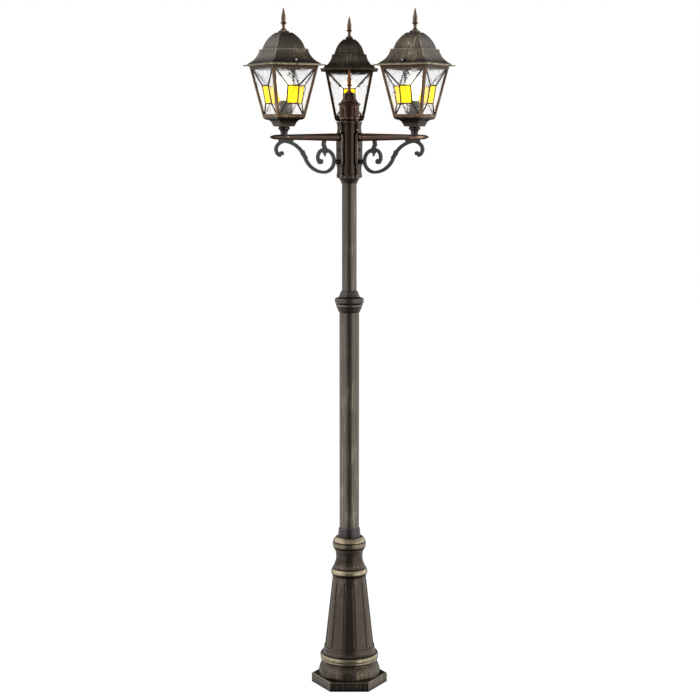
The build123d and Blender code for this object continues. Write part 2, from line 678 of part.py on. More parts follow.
def arm():
    near = arm_plate_back - 4
    bar = arm_solid() + radial(Circle(ARM_SPIGOT_RADIUS), near, ARM_PLATE_FACE, arm_level)
    bar -= radial(Circle(ARM_BORE_RADIUS), near, LANTERN_REACH, arm_level)
    nipple_hole = rod(NIPPLE_RADIUS + SLIP, arm_level, arm_level + ARM_ROOT_RADIUS)
    return bar - Pos(LANTERN_REACH, 0, 0) * nipple_hole


def scroll_lines():
    """Centre line of the scroll in the arm's plane, in tangent arcs from its eye to its hook."""
    loop_centre = (SCROLL_LOOP_REACH, SCROLL_LOOP_RADIUS - SCROLL_DROP)
    loop = CenterArc(loop_centre, SCROLL_LOOP_RADIUS, 270, -SCROLL_LOOP_TURN)
    curl_end = (SCROLL_EYE_REACH + SCROLL_WIDTH, -SCROLL_EYE_DROP + 1.3 * SCROLL_WIDTH)
    curl = TangentArc(loop @ 1, curl_end, tangent=loop % 1)
    tail_end = (SCROLL_EYE_REACH + SCROLL_WIDTH / 6, -SCROLL_EYE_DROP - SCROLL_WIDTH / 2)
    tail = TangentArc(curl @ 1, tail_end, tangent=curl % 1)
    rise = TangentArc(loop @ 0, (SCROLL_RISE_REACH, -SCROLL_RISE_DROP), tangent=(1, 0))
    flight = TangentArc(rise @ 1, (SCROLL_CREST_REACH, -SCROLL_CREST_DROP), tangent=rise % 1)
    shoulder_end = (SCROLL_HOOK_REACH + 1.5 * SCROLL_WIDTH, -SCROLL_HOOK_DROP / 2)
    shoulder = TangentArc(flight @ 1, shoulder_end, tangent=flight % 1)
    hook_end = (SCROLL_HOOK_REACH + SCROLL_WIDTH / 3, -SCROLL_HOOK_DROP - SCROLL_HOOK_KNOB_RADIUS)
    hook = TangentArc(shoulder @ 1, hook_end, tangent=shoulder % 1)
    return [loop, curl, tail, rise, flight, shoulder, hook]


def scroll_back():
    """How far from the pole's axis the loop's pole side stands."""
    return SCROLL_LOOP_REACH - SCROLL_LOOP_RADIUS - SCROLL_WIDTH / 2


def blade(points):
    """Pointed leaf from a list of corners about its own root."""
    return make_face(Polyline(*points, close=True))


def scroll():
    """Flat cast scroll under the arm, with two knobs, a leafed collar, a thorn and a seat on the arm."""
    flat = Sketch() + [trace(line, SCROLL_WIDTH) for line in scroll_lines()]
    flat += Pos(SCROLL_EYE_REACH, -SCROLL_EYE_DROP) * Circle(SCROLL_KNOB_RADIUS)
    flat += Pos(SCROLL_HOOK_REACH, -SCROLL_HOOK_DROP) * Circle(SCROLL_HOOK_KNOB_RADIUS)
    leaf = Pos(SCROLL_RISE_REACH, -SCROLL_RISE_DROP) * blade(SCROLL_LEAF)
    loop_top = 2 * SCROLL_LOOP_RADIUS - SCROLL_DROP
    thorn = Pos(SCROLL_LOOP_REACH, loop_top) * blade(SCROLL_THORN)
    seat_near = SCROLL_CREST_REACH - SCROLL_SEAT_LENGTH / 2
    seat = Pos(seat_near + SCROLL_SEAT_LENGTH / 2, -SCROLL_CREST_DROP / 2)
    seat *= Rectangle(SCROLL_SEAT_LENGTH, SCROLL_CREST_DROP)
    knee = (SCROLL_LOOP_REACH + SCROLL_KNEE_REACH, -SCROLL_KNEE_DROP)
    stem = [Line((SCROLL_LOOP_REACH - SCROLL_KNEE_REACH, 0), knee)]
    stem.append(Line(knee, (SCROLL_LOOP_REACH - 2 * SCROLL_KNEE_REACH, loop_top)))
    flat += [leaf, thorn, seat] + [trace(line, SCROLL_STEM_WIDTH) for line in stem]
    flat += Pos(*knee) * Circle(SCROLL_STEM_WIDTH / 2)
    bar = Pos(0, 0, arm_level) * extrude(Plane.XZ * flat, SCROLL_THICKNESS / 2, both=True)
    bar -= arm_solid(SLIP)
    bolt_bore = Circle(SCROLL_SHANK_RADIUS + SLIP)
    far = scroll_back() + 2 * SCROLL_WIDTH
    return bar - radial(bolt_bore, ARM_PLATE_FACE, far, arm_level - SCROLL_BOLT_DROP)


def scroll_bolts():
    """Distance stud between each arm plate and the back of its scroll, with a shank into both."""
    level = arm_level - SCROLL_BOLT_DROP
    stud = radial(Circle(SCROLL_BOLT_RADIUS), ARM_PLATE_FACE, scroll_back(), level)
    far = scroll_back() + SCROLL_WIDTH
    shank = radial(Circle(SCROLL_SHANK_RADIUS), UPPER_TUBE_RADIUS + SLIDE, far, level)
    return around(stud + shank, ARM_AZIMUTHS.values())


# ---------------------------------------------------------------- lantern, about its own axis

def spindle():
    """Turned foot between the arm and the tray, hollowed to sit on the arm."""
    flange = tray_foot - 7
    foot = turned(
        (NIPPLE_RADIUS + SLIP, arm_level + NIPPLE_RADIUS),
        (SPINDLE_FOOT_RADIUS, arm_level + NIPPLE_RADIUS),
        (SPINDLE_FOOT_RADIUS + 0.5, arm_level + 13),
        ((SPINDLE_FOOT_RADIUS + 2.6, flange - 6.5), (SPINDLE_FLANGE_RADIUS, flange - 1)),
        (SPINDLE_FLANGE_RADIUS, flange + 1),
        (SPINDLE_NECK_RADIUS, flange + 2.5),
        (SPINDLE_NECK_RADIUS, tray_foot),
        (NIPPLE_RADIUS + SLIP, tray_foot),
    )
    return foot - Pos(-LANTERN_REACH, 0, 0) * arm_solid(SLIP)


def nipple():
    """Threaded tube that holds lampholder, tray and spindle down on the arm and carries the leads."""
    low = arm_level + ARM_BORE_RADIUS
    return rod(NIPPLE_RADIUS, low, tray_floor) - rod(NIPPLE_RADIUS - 1.5, low, tray_floor)


def tray():
    cove_top = tray_foot + TRAY_HEIGHT * 0.68
    body = mitred(
        (0, tray_foot),
        (TRAY_FOOT_HALF, tray_foot),
        (TRAY_FOOT_HALF + 0.5, tray_foot + 5),
        (TRAY_FOOT_HALF + 2.5, tray_foot + 6),
        ((TRAY_FOOT_HALF + 5.5, tray_foot + TRAY_HEIGHT * 0.47), (TRAY_COVE_HALF, cove_top)),
        (TRAY_COVE_HALF + 2.5, cove_top),
        ((CAGE_BOTTOM_HALF - 3.6, cove_top + 3.2), (CAGE_BOTTOM_HALF, tray_top)),
        (0, tray_top),
    )
    well = Rectangle(2 * TRAY_WELL_HALF, 2 * TRAY_WELL_HALF)
    body -= Pos(0, 0, tray_floor) * extrude(well, TRAY_WELL_DEPTH)
    return body - rod(NIPPLE_RADIUS + SLIP, tray_foot, tray_floor)


def frustum(inset):
    """Square taper of the lantern's body, inset from its outer faces and overrunning both ends."""
    back = inset / cos(cage_tilt)
    low, high = tray_top - 10, cage_top + 10
    low_half = CAGE_BOTTOM_HALF - 10 * cage_slope - back
    high_half = CAGE_TOP_HALF + 10 * cage_slope - back
    return mitred((0, low), (low_half, low), (high_half, high), (0, high))


def slab(low, high):
    return Pos(0, 0, low) * extrude(Rectangle(LONG, LONG), high - low)


def cage():
    """Four angle posts between a bottom and a top rail, with two notched tabs for the roof screws."""
    body = (frustum(0) - frustum(CAGE_WALL)) & slab(tray_top, cage_top)
    window_low = tray_top + BOTTOM_RAIL
    window_high = cage_top - TOP_RAIL
    half_low = CAGE_BOTTOM_HALF + BOTTOM_RAIL * cage_slope - POST_WIDTH
    half_high = CAGE_TOP_HALF - TOP_RAIL * cage_slope - POST_WIDTH
    foot_corners = (-half_low, window_low), (half_low, window_low)
    window = outline(*foot_corners, (half_high, window_high), (-half_high, window_high))
    opening = extrude(window, LONG, both=True)
    body -= [opening, Rot(0, 0, 90) * opening]
    tab_face = CAGE_TOP_HALF - CAGE_WALL - TAB_INSET
    tab_top = cage_top + ROOF_SCREW_RISE + TAB_ABOVE_SCREW
    foot_edge = CAGE_TOP_HALF - 1.5
    foot = Pos(0, (tab_face + foot_edge) / 2, cage_top - TAB_THICKNESS / 2)
    tab = foot * Box(2 * TAB_HALF_WIDTH, foot_edge - tab_face, TAB_THICKNESS)
    rise = tab_top - cage_top + TAB_THICKNESS
    upright = Pos(0, tab_face + TAB_THICKNESS / 2, tab_top - rise / 2)
    tab += upright * Box(2 * TAB_HALF_WIDTH, TAB_THICKNESS, rise)
    notch = ROOF_SCREW_RADIUS + SLIDE
    screw_level = cage_top + ROOF_SCREW_RISE
    tab -= Pos(0, 0, screw_level) * Rot(90, 0, 0) * rod(notch, -LONG, LONG)
    tab -= Pos(0, tab_face, screw_level + LONG / 2) * Box(2 * notch, 4 * TAB_THICKNESS, LONG)
    body += tab
    body += Rot(0, 0, 180) * tab
    return body


def pane_plane():
    """Plane of the outer face of the +X pane: X across it, Y up its slope, Z outwards."""
    outward = Vector(cos(cage_tilt), 0, -sin(cage_tilt))
    corner = Vector(CAGE_BOTTOM_HALF, 0, tray_top)
    return Plane(corner - outward * (CAGE_WALL + SLIP), x_dir=(0, 1, 0), z_dir=outward)


def pane_size():
    """Low and high edge up the slope, and the half-width at each, clear of the panes next to it."""
    slope_length = CAGE_HEIGHT / cos(cage_tilt)
    low = GLASS_THICKNESS
    high = slope_length - TAB_THICKNESS - GLASS_THICKNESS
    edge = (CAGE_WALL + GLASS_THICKNESS) / cos(cage_tilt) + SLIDE
    low_half = CAGE_BOTTOM_HALF + low * sin(cage_tilt) - edge
    high_half = CAGE_BOTTOM_HALF + high * sin(cage_tilt) - edge
    return low, high, low_half, high_half


def came_lines():
    """The lead's centre lines: a rectangle round the amber, and a diagonal from each pane corner to it."""
    low, high, low_half, high_half = pane_size()
    side, foot, head = AMBER_HALF_WIDTH, AMBER_LOW, AMBER_LOW + AMBER_HEIGHT
    ends = [((low_half, low), (side, foot)), ((high_half, high), (side, head))]
    lines = [Line((-side, foot), (side, foot)), Line((-side, head), (side, head))]
    for hand in (-1, 1):
        lines.append(Line((hand * side, foot), (hand * side, head)))
        lines += [Line((hand * a[0], a[1]), (hand * b[0], b[1])) for a, b in ends]
    return lines


def lead_sketch(width):
    flat = Sketch() + [trace(line, width) for line in came_lines()]
    side, foot, head = AMBER_HALF_WIDTH, AMBER_LOW, AMBER_LOW + AMBER_HEIGHT
    corners = [(x, y) for x in (-side, side) for y in (foot, head)]
    return flat + [Pos(x, y) * Rectangle(width, width) for x, y in corners]


def pane_outline():
    low, high, low_half, high_half = pane_size()
    foot_corners = (-low_half, low), (low_half, low)
    return make_face(Polyline(*foot_corners, (high_half, high), (-high_half, high), close=True))


def pane_pieces():
    """The five pieces of glass of one side, the amber one first."""
    cut = pane_outline() - lead_sketch(CAME_WEB)
    middle = Vector(0, AMBER_LOW + AMBER_HEIGHT / 2, 0)
    faces = sorted(cut.faces(), key=lambda face: (face.center() - middle).length)
    return [extrude(pane_plane() * face, -GLASS_THICKNESS) for face in faces]


def came(glass, cage_body):
    """Lead strips of one side, grooved for the glass and cut short where they meet the cage."""
    strip = lead_sketch(CAME_WIDTH) & pane_outline()
    proud = (CAME_THICKNESS - GLASS_THICKNESS) / 2
    lattice = extrude(pane_plane().offset(proud) * strip, -CAME_THICKNESS)
    for piece in glass:
        lattice -= piece
    return lattice - cage_body


def lampholder():
    ring_low = tray_floor + HOLDER_HEIGHT * 0.22
    ring_high = tray_floor + HOLDER_HEIGHT * 0.5
    body = turned(
        (0, tray_floor),
        (HOLDER_RADIUS - 3, tray_floor),
        (HOLDER_RADIUS - 1, ring_low),
        (HOLDER_RADIUS, ring_low + 2),
        (HOLDER_RADIUS, ring_high),
        (HOLDER_RADIUS - 0.8, ring_high + 1),
        (HOLDER_RADIUS - 1, holder_top - 2),
        (HOLDER_RADIUS - 2, holder_top),
        (0, holder_top),
    )
    return body - rod(HOLDER_SOCKET_RADIUS, holder_top - HOLDER_SOCKET_DEPTH, holder_top)


def bulb_cap():
    foot = holder_top - HOLDER_SOCKET_DEPTH + SLIDE
    return turned(
        (0, foot),
        (BULB_CAP_RADIUS * 0.4, foot),
        (BULB_CAP_RADIUS, foot + 6),
        (BULB_CAP_RADIUS, holder_top + BULB_CAP_PROUD),
        (0, holder_top + BULB_CAP_PROUD),
    )


def bulb_form(inset):
    """Solid of the bulb, this far inside its outer face; the neck flares into the globe."""
    foot = holder_top + BULB_CAP_PROUD
    belly = foot + BULB_HEIGHT - BULB_RADIUS
    radius = BULB_RADIUS - inset
    flare = belly - radius / 2
    neck = BULB_CAP_RADIUS - 0.4 - inset
    return turned(
        (0, foot),
        (neck, foot),
        ((neck + 3.4, (foot + flare) / 2), (radius * sqrt(0.75), flare)),
        ((radius, belly), (0, belly + radius)),
    )


def bulb_glass():
    return bulb_form(0) - bulb_form(BULB_WALL)


def roof():
    """Mitred skirt and dome on a thin flat rim, hollow inside, with a boss for each fixing screw."""
    skirt_middle = skirt_foot + SKIRT_HEIGHT * SKIRT_MID_SHARE
    dome_middle = dome_foot + DOME_HEIGHT * 0.48
    shell = mitred(
        (0, cage_top),
        (RIM_HALF, cage_top),
        (RIM_HALF, skirt_foot),
        (SKIRT_LOW_HALF, skirt_foot + 1),
        (SKIRT_LOW_HALF, skirt_foot + SKIRT_EDGE),
        ((SKIRT_MID_HALF, skirt_middle), (SKIRT_TOP_HALF, dome_foot - 1)),
        (SKIRT_TOP_HALF - 1, dome_foot),
        (DOME_FOOT_HALF, dome_foot),
        ((DOME_MID_HALF, dome_middle), (DOME_TOP_HALF, dome_top)),
        (BLOCK_HALF, dome_top),
        (BLOCK_HALF, roof_top),
        (0, roof_top),
    )
    bosses = radial(Circle(ROOF_BOSS_RADIUS), 0, roof_boss_face(), cage_top + ROOF_SCREW_RISE)
    shell += [Rot(0, 0, 90) * bosses, Rot(0, 0, 270) * bosses]
    lip = CAGE_TOP_HALF - CAGE_WALL
    skirt_head = (SKIRT_TOP_HALF - ROOF_WALL - 1, dome_foot - 5)
    ceiling = dome_top - ROOF_WALL - 1
    hollow = mitred(
        (0, cage_top),
        (lip, cage_top),
        (lip, skirt_foot),
        ((SKIRT_MID_HALF - ROOF_WALL, skirt_middle - ROOF_WALL / 2), skirt_head),
        (DOME_FOOT_HALF - ROOF_WALL, dome_foot - 2),
        ((DOME_MID_HALF - ROOF_WALL, dome_middle - ROOF_WALL / 2), (BLOCK_HALF, ceiling)),
        (0, ceiling),
    )
    shell -= hollow
    screw_hole = radial(Circle(ROOF_SCREW_RADIUS + SLIP), 0, LONG / 2, cage_top + ROOF_SCREW_RISE)
    shell -= [Rot(0, 0, 90) * screw_hole, Rot(0, 0, 270) * screw_hole]
    return shell - rod(FINIAL_STUD_RADIUS + SLIP, dome_top - ROOF_WALL - 2, roof_top)


def roof_boss_face():
    """How far out the screw bosses stand: on the skirt's chord at the boss's lower edge."""
    rise = ROOF_SCREW_RISE - ROOF_BOSS_RADIUS - RIM_THICKNESS - SKIRT_EDGE
    share = rise / (SKIRT_HEIGHT * SKIRT_MID_SHARE)
    return SKIRT_LOW_HALF - share * (SKIRT_LOW_HALF - SKIRT_MID_HALF)


def roof_screws():
    """Two screws through the skirt that hook into the notches of the cage's tabs."""
    tab_face = CAGE_TOP_HALF - CAGE_WALL - TAB_INSET
    level = cage_top + ROOF_SCREW_RISE
    face = roof_boss_face()
    screw = radial(Circle(ROOF_SCREW_RADIUS), tab_face - 2, face, level)
    head = radial(Circle(ROOF_SCREW_HEAD_RADIUS), face, face + ROOF_SCREW_HEAD_HEIGHT, level)
    head_face = face + ROOF_SCREW_HEAD_HEIGHT
    head -= radial(Rectangle(SCREW_SLOT, 2 * ROOF_SCREW_HEAD_RADIUS), head_face - 1, head_face, level)
    return around(screw + head, (90, 270))


# ---------------------------------------------------------------- assembly

def group(pieces):
    """Several separate solids in one node."""
    return Compound(children=[solid for piece in pieces for solid in piece.solids()])


def lantern():
    """The sub-parts of one lantern, about its own axis."""
    cage_body = cage()
    glass = pane_pieces()
    side_came = came(glass, cage_body)
    clear = [piece for pane in glass[1:] for piece in four(pane)]
    return {
        "spindle": [spindle()],
        "tray": [tray()],
        "cage": [cage_body],
        "clear_glass": clear,
        "amber_glass": four(glass[0]),
        "came": four(side_came),
        "lampholder": [lampholder()],
        "bulb_cap": [bulb_cap()],
        "bulb_glass": [bulb_glass()],
        "roof": [roof()],
        "finial": [finial(roof_top)],
        "roof_screws": roof_screws(),
    }


def model():
    parts = {
        "base_casting": [base_casting()],
        "base_sleeve": [base_sleeve()],
        "ground_plate": [ground_plate()],
        "tie_rod": [tie_rod()],
        "clamp_bar": [clamp_bar()],
        "tie_nuts": tie_nuts(),
        "terminal_block": [terminal_block()],
        "lower_tube": [lower_tube()],
        "mid_collar": [mid_collar()],
        "upper_tube": [upper_tube()],
        "set_screws": set_screws(),
        "hub_casting": [hub_casting()],
        "hub_screws": hub_screws(),
        "hub_cap": [hub_cap()],
        "hub_finial": [finial(cap_top)],
        "scroll_bolts": scroll_bolts(),
        "nipples": around(nipple(), ARM_AZIMUTHS.values(), LANTERN_REACH),
    }
    arm_piece, scroll_piece, lantern_pieces = arm(), scroll(), lantern()
    for name, azimuth in ARM_AZIMUTHS.items():
        parts[name + "_arm"] = around(arm_piece, [azimuth])
        parts[name + "_scroll"] = around(scroll_piece, [azimuth])
        for piece_name, pieces in lantern_pieces.items():
            placed = [around(piece, [azimuth], LANTERN_REACH)[0] for piece in pieces]
            parts[name + "_" + piece_name] = placed
    return parts


os.makedirs("parts", exist_ok=True)
for node, pieces in model().items():
    export_step(group(pieces), f"parts/{node}.step")
    print(node, len(pieces))
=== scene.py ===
# %% [markdown]
# # A garden lamp post with lit lanterns
#
# The metal solids of this post are finished shapes, so Blender's work is what the CAD model
# can't say: a black casting that was rubbed over with gold and copper by hand, rippled glass in
# lead strips, and bulbs that are switched on. This first cell loads the imported model, which
# stays where it is.

# %% Load the post
import json
import math

import bpy
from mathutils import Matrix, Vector


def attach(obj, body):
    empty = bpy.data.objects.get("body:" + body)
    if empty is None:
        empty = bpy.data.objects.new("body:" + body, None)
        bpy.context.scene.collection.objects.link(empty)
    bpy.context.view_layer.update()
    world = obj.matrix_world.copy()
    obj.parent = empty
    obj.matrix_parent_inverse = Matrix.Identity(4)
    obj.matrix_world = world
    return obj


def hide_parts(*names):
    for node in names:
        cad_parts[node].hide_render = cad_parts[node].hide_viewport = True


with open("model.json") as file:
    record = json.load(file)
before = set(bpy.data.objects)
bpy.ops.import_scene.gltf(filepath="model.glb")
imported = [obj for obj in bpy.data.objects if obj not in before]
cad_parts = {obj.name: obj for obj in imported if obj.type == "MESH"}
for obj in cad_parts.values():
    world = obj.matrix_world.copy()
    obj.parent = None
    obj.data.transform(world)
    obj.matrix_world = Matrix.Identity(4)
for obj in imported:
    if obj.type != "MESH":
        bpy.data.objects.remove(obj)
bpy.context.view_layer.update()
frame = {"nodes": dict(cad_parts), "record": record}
nodes = frame["nodes"]

# %% [markdown]
# ## The camera
#
# The photograph was taken from about the height of the arms, with a long lens: the top of the
# plinth shows as a flat hexagon, while the rims of the roofs, which are above the lens, show
# their undersides. One tilt of a few degrees and no turn gives both.

# %% Camera
CAMERA_DISTANCE = 5.440
CAMERA_HEIGHT = 1.8419
CAMERA_TILT = math.radians(7.25)
FOCAL_PIXELS = 1634.0
FRAME_PIXELS = 700.0
SENSOR_MM = 36.0
SIDEWAYS_SHIFT = 0.001

camera_data = bpy.data.cameras.new("photo_camera")
camera = bpy.data.objects.new("photo_camera", camera_data)
bpy.context.scene.collection.objects.link(camera)
bpy.context.scene.camera = camera
camera_data.sensor_width = SENSOR_MM
camera_data.lens = FOCAL_PIXELS / FRAME_PIXELS * SENSOR_MM
camera_data.shift_x = SIDEWAYS_SHIFT
camera.location = (0.0, -CAMERA_DISTANCE, CAMERA_HEIGHT)
camera.rotation_euler = (math.pi / 2 - CAMERA_TILT, 0.0, 0.0)
bpy.context.scene.view_settings.view_transform = "Standard"
print("lens:", round(camera_data.lens, 2), "mm")

# %% [markdown]
# ## Helpers
#
# Every look below is a tree of shader nodes. These functions make one node each, or one small
# step of arithmetic, and take constants and the outputs of other nodes alike, so that a tree
# reads like a formula.

# %% Helpers: nodes
def wire(tree, source, target):
    """Joins an output to an input."""
    tree.links.new(source, target)


def feed(tree, node, inputs):
    """Gives a node its inputs, constants or outputs, by the socket's name or number."""
    for key, value in (inputs or {}).items():
        if isinstance(value, bpy.types.NodeSocket):
            wire(tree, value, node.inputs[key])
        else:
            node.inputs[key].default_value = value
    return node


def add_node(tree, kind, inputs=None, **settings):
    """Makes a node with its settings and its inputs."""
    node = tree.nodes.new(kind)
    for key, value in settings.items():
        setattr(node, key, value)
    return feed(tree, node, inputs)


def empty_tree(owner):
    """The cleared node tree of a material or of the world."""
    owner.use_nodes = True
    owner.node_tree.nodes.clear()
    return owner.node_tree


def object_place(tree):
    """Where a point is, in metres; every node's object sits at the origin of the post."""
    return add_node(tree, "ShaderNodeTexCoord").outputs["Object"]


# %% Helpers: arithmetic
def math_node(tree, operation, *values, clamp=False):
    """The result of a Math node."""
    node = add_node(tree, "ShaderNodeMath", dict(enumerate(values)), operation=operation,
                    use_clamp=clamp)
    return node.outputs[0]


def vector_math(tree, operation, *values):
    """The result of a Vector Math node: a number for a product or distance, else a vector."""
    node = add_node(tree, "ShaderNodeVectorMath", dict(enumerate(values)), operation=operation)
    return node.outputs["Value" if operation in ("DOT_PRODUCT", "DISTANCE") else "Vector"]


def times(tree, *factors):
    """The product of two or more values."""
    product = factors[0]
    for factor in factors[1:]:
        product = math_node(tree, "MULTIPLY", product, factor)
    return product


def between(tree, mask, low, high):
    """A value that goes from low to high as a mask goes from 0 to 1."""
    return math_node(tree, "MULTIPLY_ADD", mask, high - low, low)


def ramp(tree, value, low, high):
    """A smooth step of a value between two limits: 0 at low, 1 at high."""
    node = add_node(tree, "ShaderNodeMapRange", {0: value, 1: low, 2: high},
                    interpolation_type="SMOOTHSTEP")
    return node.outputs[0]


def noise(tree, place, scale, detail, roughness=0.5, distortion=0.0):
    """The value of a Noise texture at a place."""
    node = add_node(tree, "ShaderNodeTexNoise",
                    {"Vector": place, "Scale": scale, "Detail": detail, "Roughness": roughness,
                     "Distortion": distortion})
    return node.outputs[0]


# %% Helpers: colours
def mix_colour(tree, factor, first, second):
    """The result of a colour Mix node."""
    node = add_node(tree, "ShaderNodeMix", {0: factor, 6: first, 7: second}, data_type="RGBA")
    return node.outputs[2]


def rgb(red, green, blue):
    """A colour as a picture program shows it, 0 to 255, in the linear form that Blender uses."""
    def linear(value):
        value /= 255
        return value / 12.92 if value <= 0.04045 else ((value + 0.055) / 1.055) ** 2.4
    return (linear(red), linear(green), linear(blue), 1.0)


# %% Helpers: groups
FLOAT, VECTOR = "NodeSocketFloat", "NodeSocketVector"


def new_group(name, inputs, outputs):
    """An empty shader group with named sockets; returns it with its input and output nodes."""
    group = bpy.data.node_groups.new(name, "ShaderNodeTree")
    for socket, kind, value in inputs:
        group.interface.new_socket(socket, in_out="INPUT", socket_type=kind).default_value = value
    for socket, kind in outputs:
        group.interface.new_socket(socket, in_out="OUTPUT", socket_type=kind)
    return group, group.nodes.new("NodeGroupInput"), group.nodes.new("NodeGroupOutput")


def group_node(tree, group, inputs=None):
    """Puts a group into a tree; its inputs go by the socket's name."""
    return feed(tree, add_node(tree, "ShaderNodeGroup", node_tree=group), inputs)


# %% [markdown]
# ## The studio
#
# A cut-out photograph has a pure white ground. Raising the lights until a floor burns out would
# also wash out the dark metal, so the white comes from the Light Path node instead: rays from
# the camera and rays through glass find a white of strength 1, mirror reflections find a studio
# of their own, and scattered light finds a softer grey. The floor does the same, and adds a
# little real diffuse to keep a faint shadow.
#
# The post is dark metal, and dark metal is drawn by what it mirrors. In the photograph every
# round piece is light on its left and right and dark down its middle, and each roof is lighter
# high on its skirt than at its rim. That is a studio with white walls on both sides, nothing lit
# straight overhead, and only a weak light high up behind the camera. The right wall is dimmer
# high up, and the left one at the height of the lens, as if a door were open there. One group
# gives the brightness of a mirrored direction, and both the world and the floor use it.

# %% Group: the studio in a mirror
# A direction has length 1, and its parts run to the right, away from the camera and up. Each
# pair says where along such a part something in the studio starts, and where it is full; a level
# says how bright the studio is there.
SIDE_WALLS = (0.24, 0.72)
DARK_LEVEL = 0.08
RIGHT_HIGH, RIGHT_SIDE, RIGHT_LEVEL = (0.30, 0.65), (0.0, 0.35), 0.45
DOOR_FOOT, DOOR_HEAD, DOOR_SIDE, DOOR_LEVEL = (-0.13, -0.05), (0.18, 0.08), (0.0, -0.30), 0.5
WALL_FOOT, BELOW_WALL_LEVEL = (-0.80, -0.25), 0.3
FRONT_HIGH, FRONT_SIDE, FRONT_LEVEL = (0.20, 0.60), (-0.15, -0.50), 0.34

mirror_group, given, result = new_group(
    "mirrored studio", [("Direction", VECTOR, (0.0, 0.0, 1.0))], [("Strength", FLOAT)])
axes = add_node(mirror_group, "ShaderNodeSeparateXYZ", {0: given.outputs["Direction"]})
right, away, up = (axes.outputs[axis] for axis in "XYZ")


def where(*steps):
    """A mask of the directions that pass every step, each given as a value and its limits."""
    return times(mirror_group, *(ramp(mirror_group, value, *limits) for value, limits in steps))


sideways = math_node(mirror_group, "ABSOLUTE", right)
high_right = where((up, RIGHT_HIGH), (right, RIGHT_SIDE))
door = where((up, DOOR_FOOT), (up, DOOR_HEAD), (right, DOOR_SIDE))
walls = times(mirror_group, where((sideways, SIDE_WALLS)),
              between(mirror_group, high_right, 1.0, RIGHT_LEVEL),
              between(mirror_group, door, 1.0, DOOR_LEVEL),
              between(mirror_group, where((up, WALL_FOOT)), BELOW_WALL_LEVEL, 1.0))
front = times(mirror_group, where((up, FRONT_HIGH), (away, FRONT_SIDE)), FRONT_LEVEL)
level = math_node(mirror_group, "MAXIMUM", between(mirror_group, walls, DARK_LEVEL, 1.0), front)
wire(mirror_group, level, result.inputs["Strength"])
print("group:", mirror_group.name)


# %% World
def seen_white(tree, direction):
    """White for rays from the camera and through glass, the mirrored studio for reflections;
    returns that strength and the Light Path node."""
    rays = add_node(tree, "ShaderNodeLightPath")
    straight = math_node(tree, "MAXIMUM", rays.outputs["Is Camera Ray"],
                         rays.outputs["Is Transmission Ray"])
    mirrored = group_node(tree, mirror_group, {"Direction": direction}).outputs[0]
    mirrored = times(tree, rays.outputs["Is Glossy Ray"], mirrored)
    return math_node(tree, "MAXIMUM", straight, mirrored), rays


FILL = 0.55
WHITE = (1.0, 1.0, 1.0, 1.0)

world = bpy.data.worlds.new("studio")
bpy.context.scene.world = world
tree = empty_tree(world)
way = add_node(tree, "ShaderNodeTexCoord").outputs["Generated"]
seen, rays = seen_white(tree, way)
scattered = times(tree, rays.outputs["Is Diffuse Ray"], FILL)
background = add_node(tree, "ShaderNodeBackground",
                      {"Color": WHITE, "Strength": math_node(tree, "MAXIMUM", seen, scattered)})
add_node(tree, "ShaderNodeOutputWorld", {"Surface": background.outputs[0]})
print("world:", world.name, "fill:", FILL)

# %% Floor
FLOOR_HALF = 30.0
FLOOR_GLOW = 0.85
FLOOR_COLOUR = (0.30, 0.30, 0.30, 1.0)
FLOOR_MIRRORED = (0.04, 0.04, 0.04, 1.0)     # metal sees an unlit floor, so that it stays dark

floor_mesh = bpy.data.meshes.new("floor")
corners = [(x * FLOOR_HALF, y * FLOOR_HALF, 0.0) for x, y in ((-1, -1), (1, -1), (1, 1), (-1, 1))]
floor_mesh.from_pydata(corners, [], [(0, 1, 2, 3)])
floor = bpy.data.objects.new("floor", floor_mesh)
bpy.context.scene.collection.objects.link(floor)

floor_material = bpy.data.materials.new("floor_white")
tree = empty_tree(floor_material)
back = add_node(tree, "ShaderNodeNewGeometry").outputs["Incoming"]
seen, rays = seen_white(tree, vector_math(tree, "MULTIPLY", back, (-1, -1, -1)))
shade_colour = mix_colour(tree, rays.outputs["Is Glossy Ray"], FLOOR_COLOUR, FLOOR_MIRRORED)
diffuse = add_node(tree, "ShaderNodeBsdfDiffuse", {"Color": shade_colour})
glow = add_node(tree, "ShaderNodeEmission",
                {"Color": WHITE, "Strength": times(tree, seen, FLOOR_GLOW)})
added = add_node(tree, "ShaderNodeAddShader", {0: diffuse.outputs[0], 1: glow.outputs[0]})
add_node(tree, "ShaderNodeOutputMaterial", {"Surface": added.outputs[0]})
floor_mesh.materials.append(floor_material)
print("floor:", 2 * FLOOR_HALF, "m square, glow:", FLOOR_GLOW)


# %% Lamps
def soft_box(name, place, target, size, power):
    """An area lamp that faces a point, and shows neither to the camera nor in the metal."""
    data = bpy.data.lights.new(name, "AREA")
    data.shape = "RECTANGLE"
    data.size, data.size_y = size
    data.energy = power
    lamp = bpy.data.objects.new(name, data)
    bpy.context.scene.collection.objects.link(lamp)
    lamp.location = place
    direction = Vector(target) - lamp.location
    lamp.rotation_euler = direction.to_track_quat("-Z", "Y").to_euler()
    lamp.visible_camera = False
    lamp.visible_glossy = False


MID_POST, LOW_POST = (0, 0, 1.2), (0, 0, 0.8)
soft_box("key_left", (-3.6, -2.4, 3.2), MID_POST, size=(1.6, 3.0), power=110)
soft_box("side_right", (3.6, -0.6, 2.2), MID_POST, size=(1.0, 3.0), power=60)
soft_box("front_low", (0.6, -4.6, 0.9), LOW_POST, size=(1.6, 1.6), power=18)

# %% [markdown]
# ## Smooth castings
#
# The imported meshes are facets. Their vertices stay as they are, and each piece is shaded
# smooth, with a sharp edge wherever two facets meet at more than this angle.

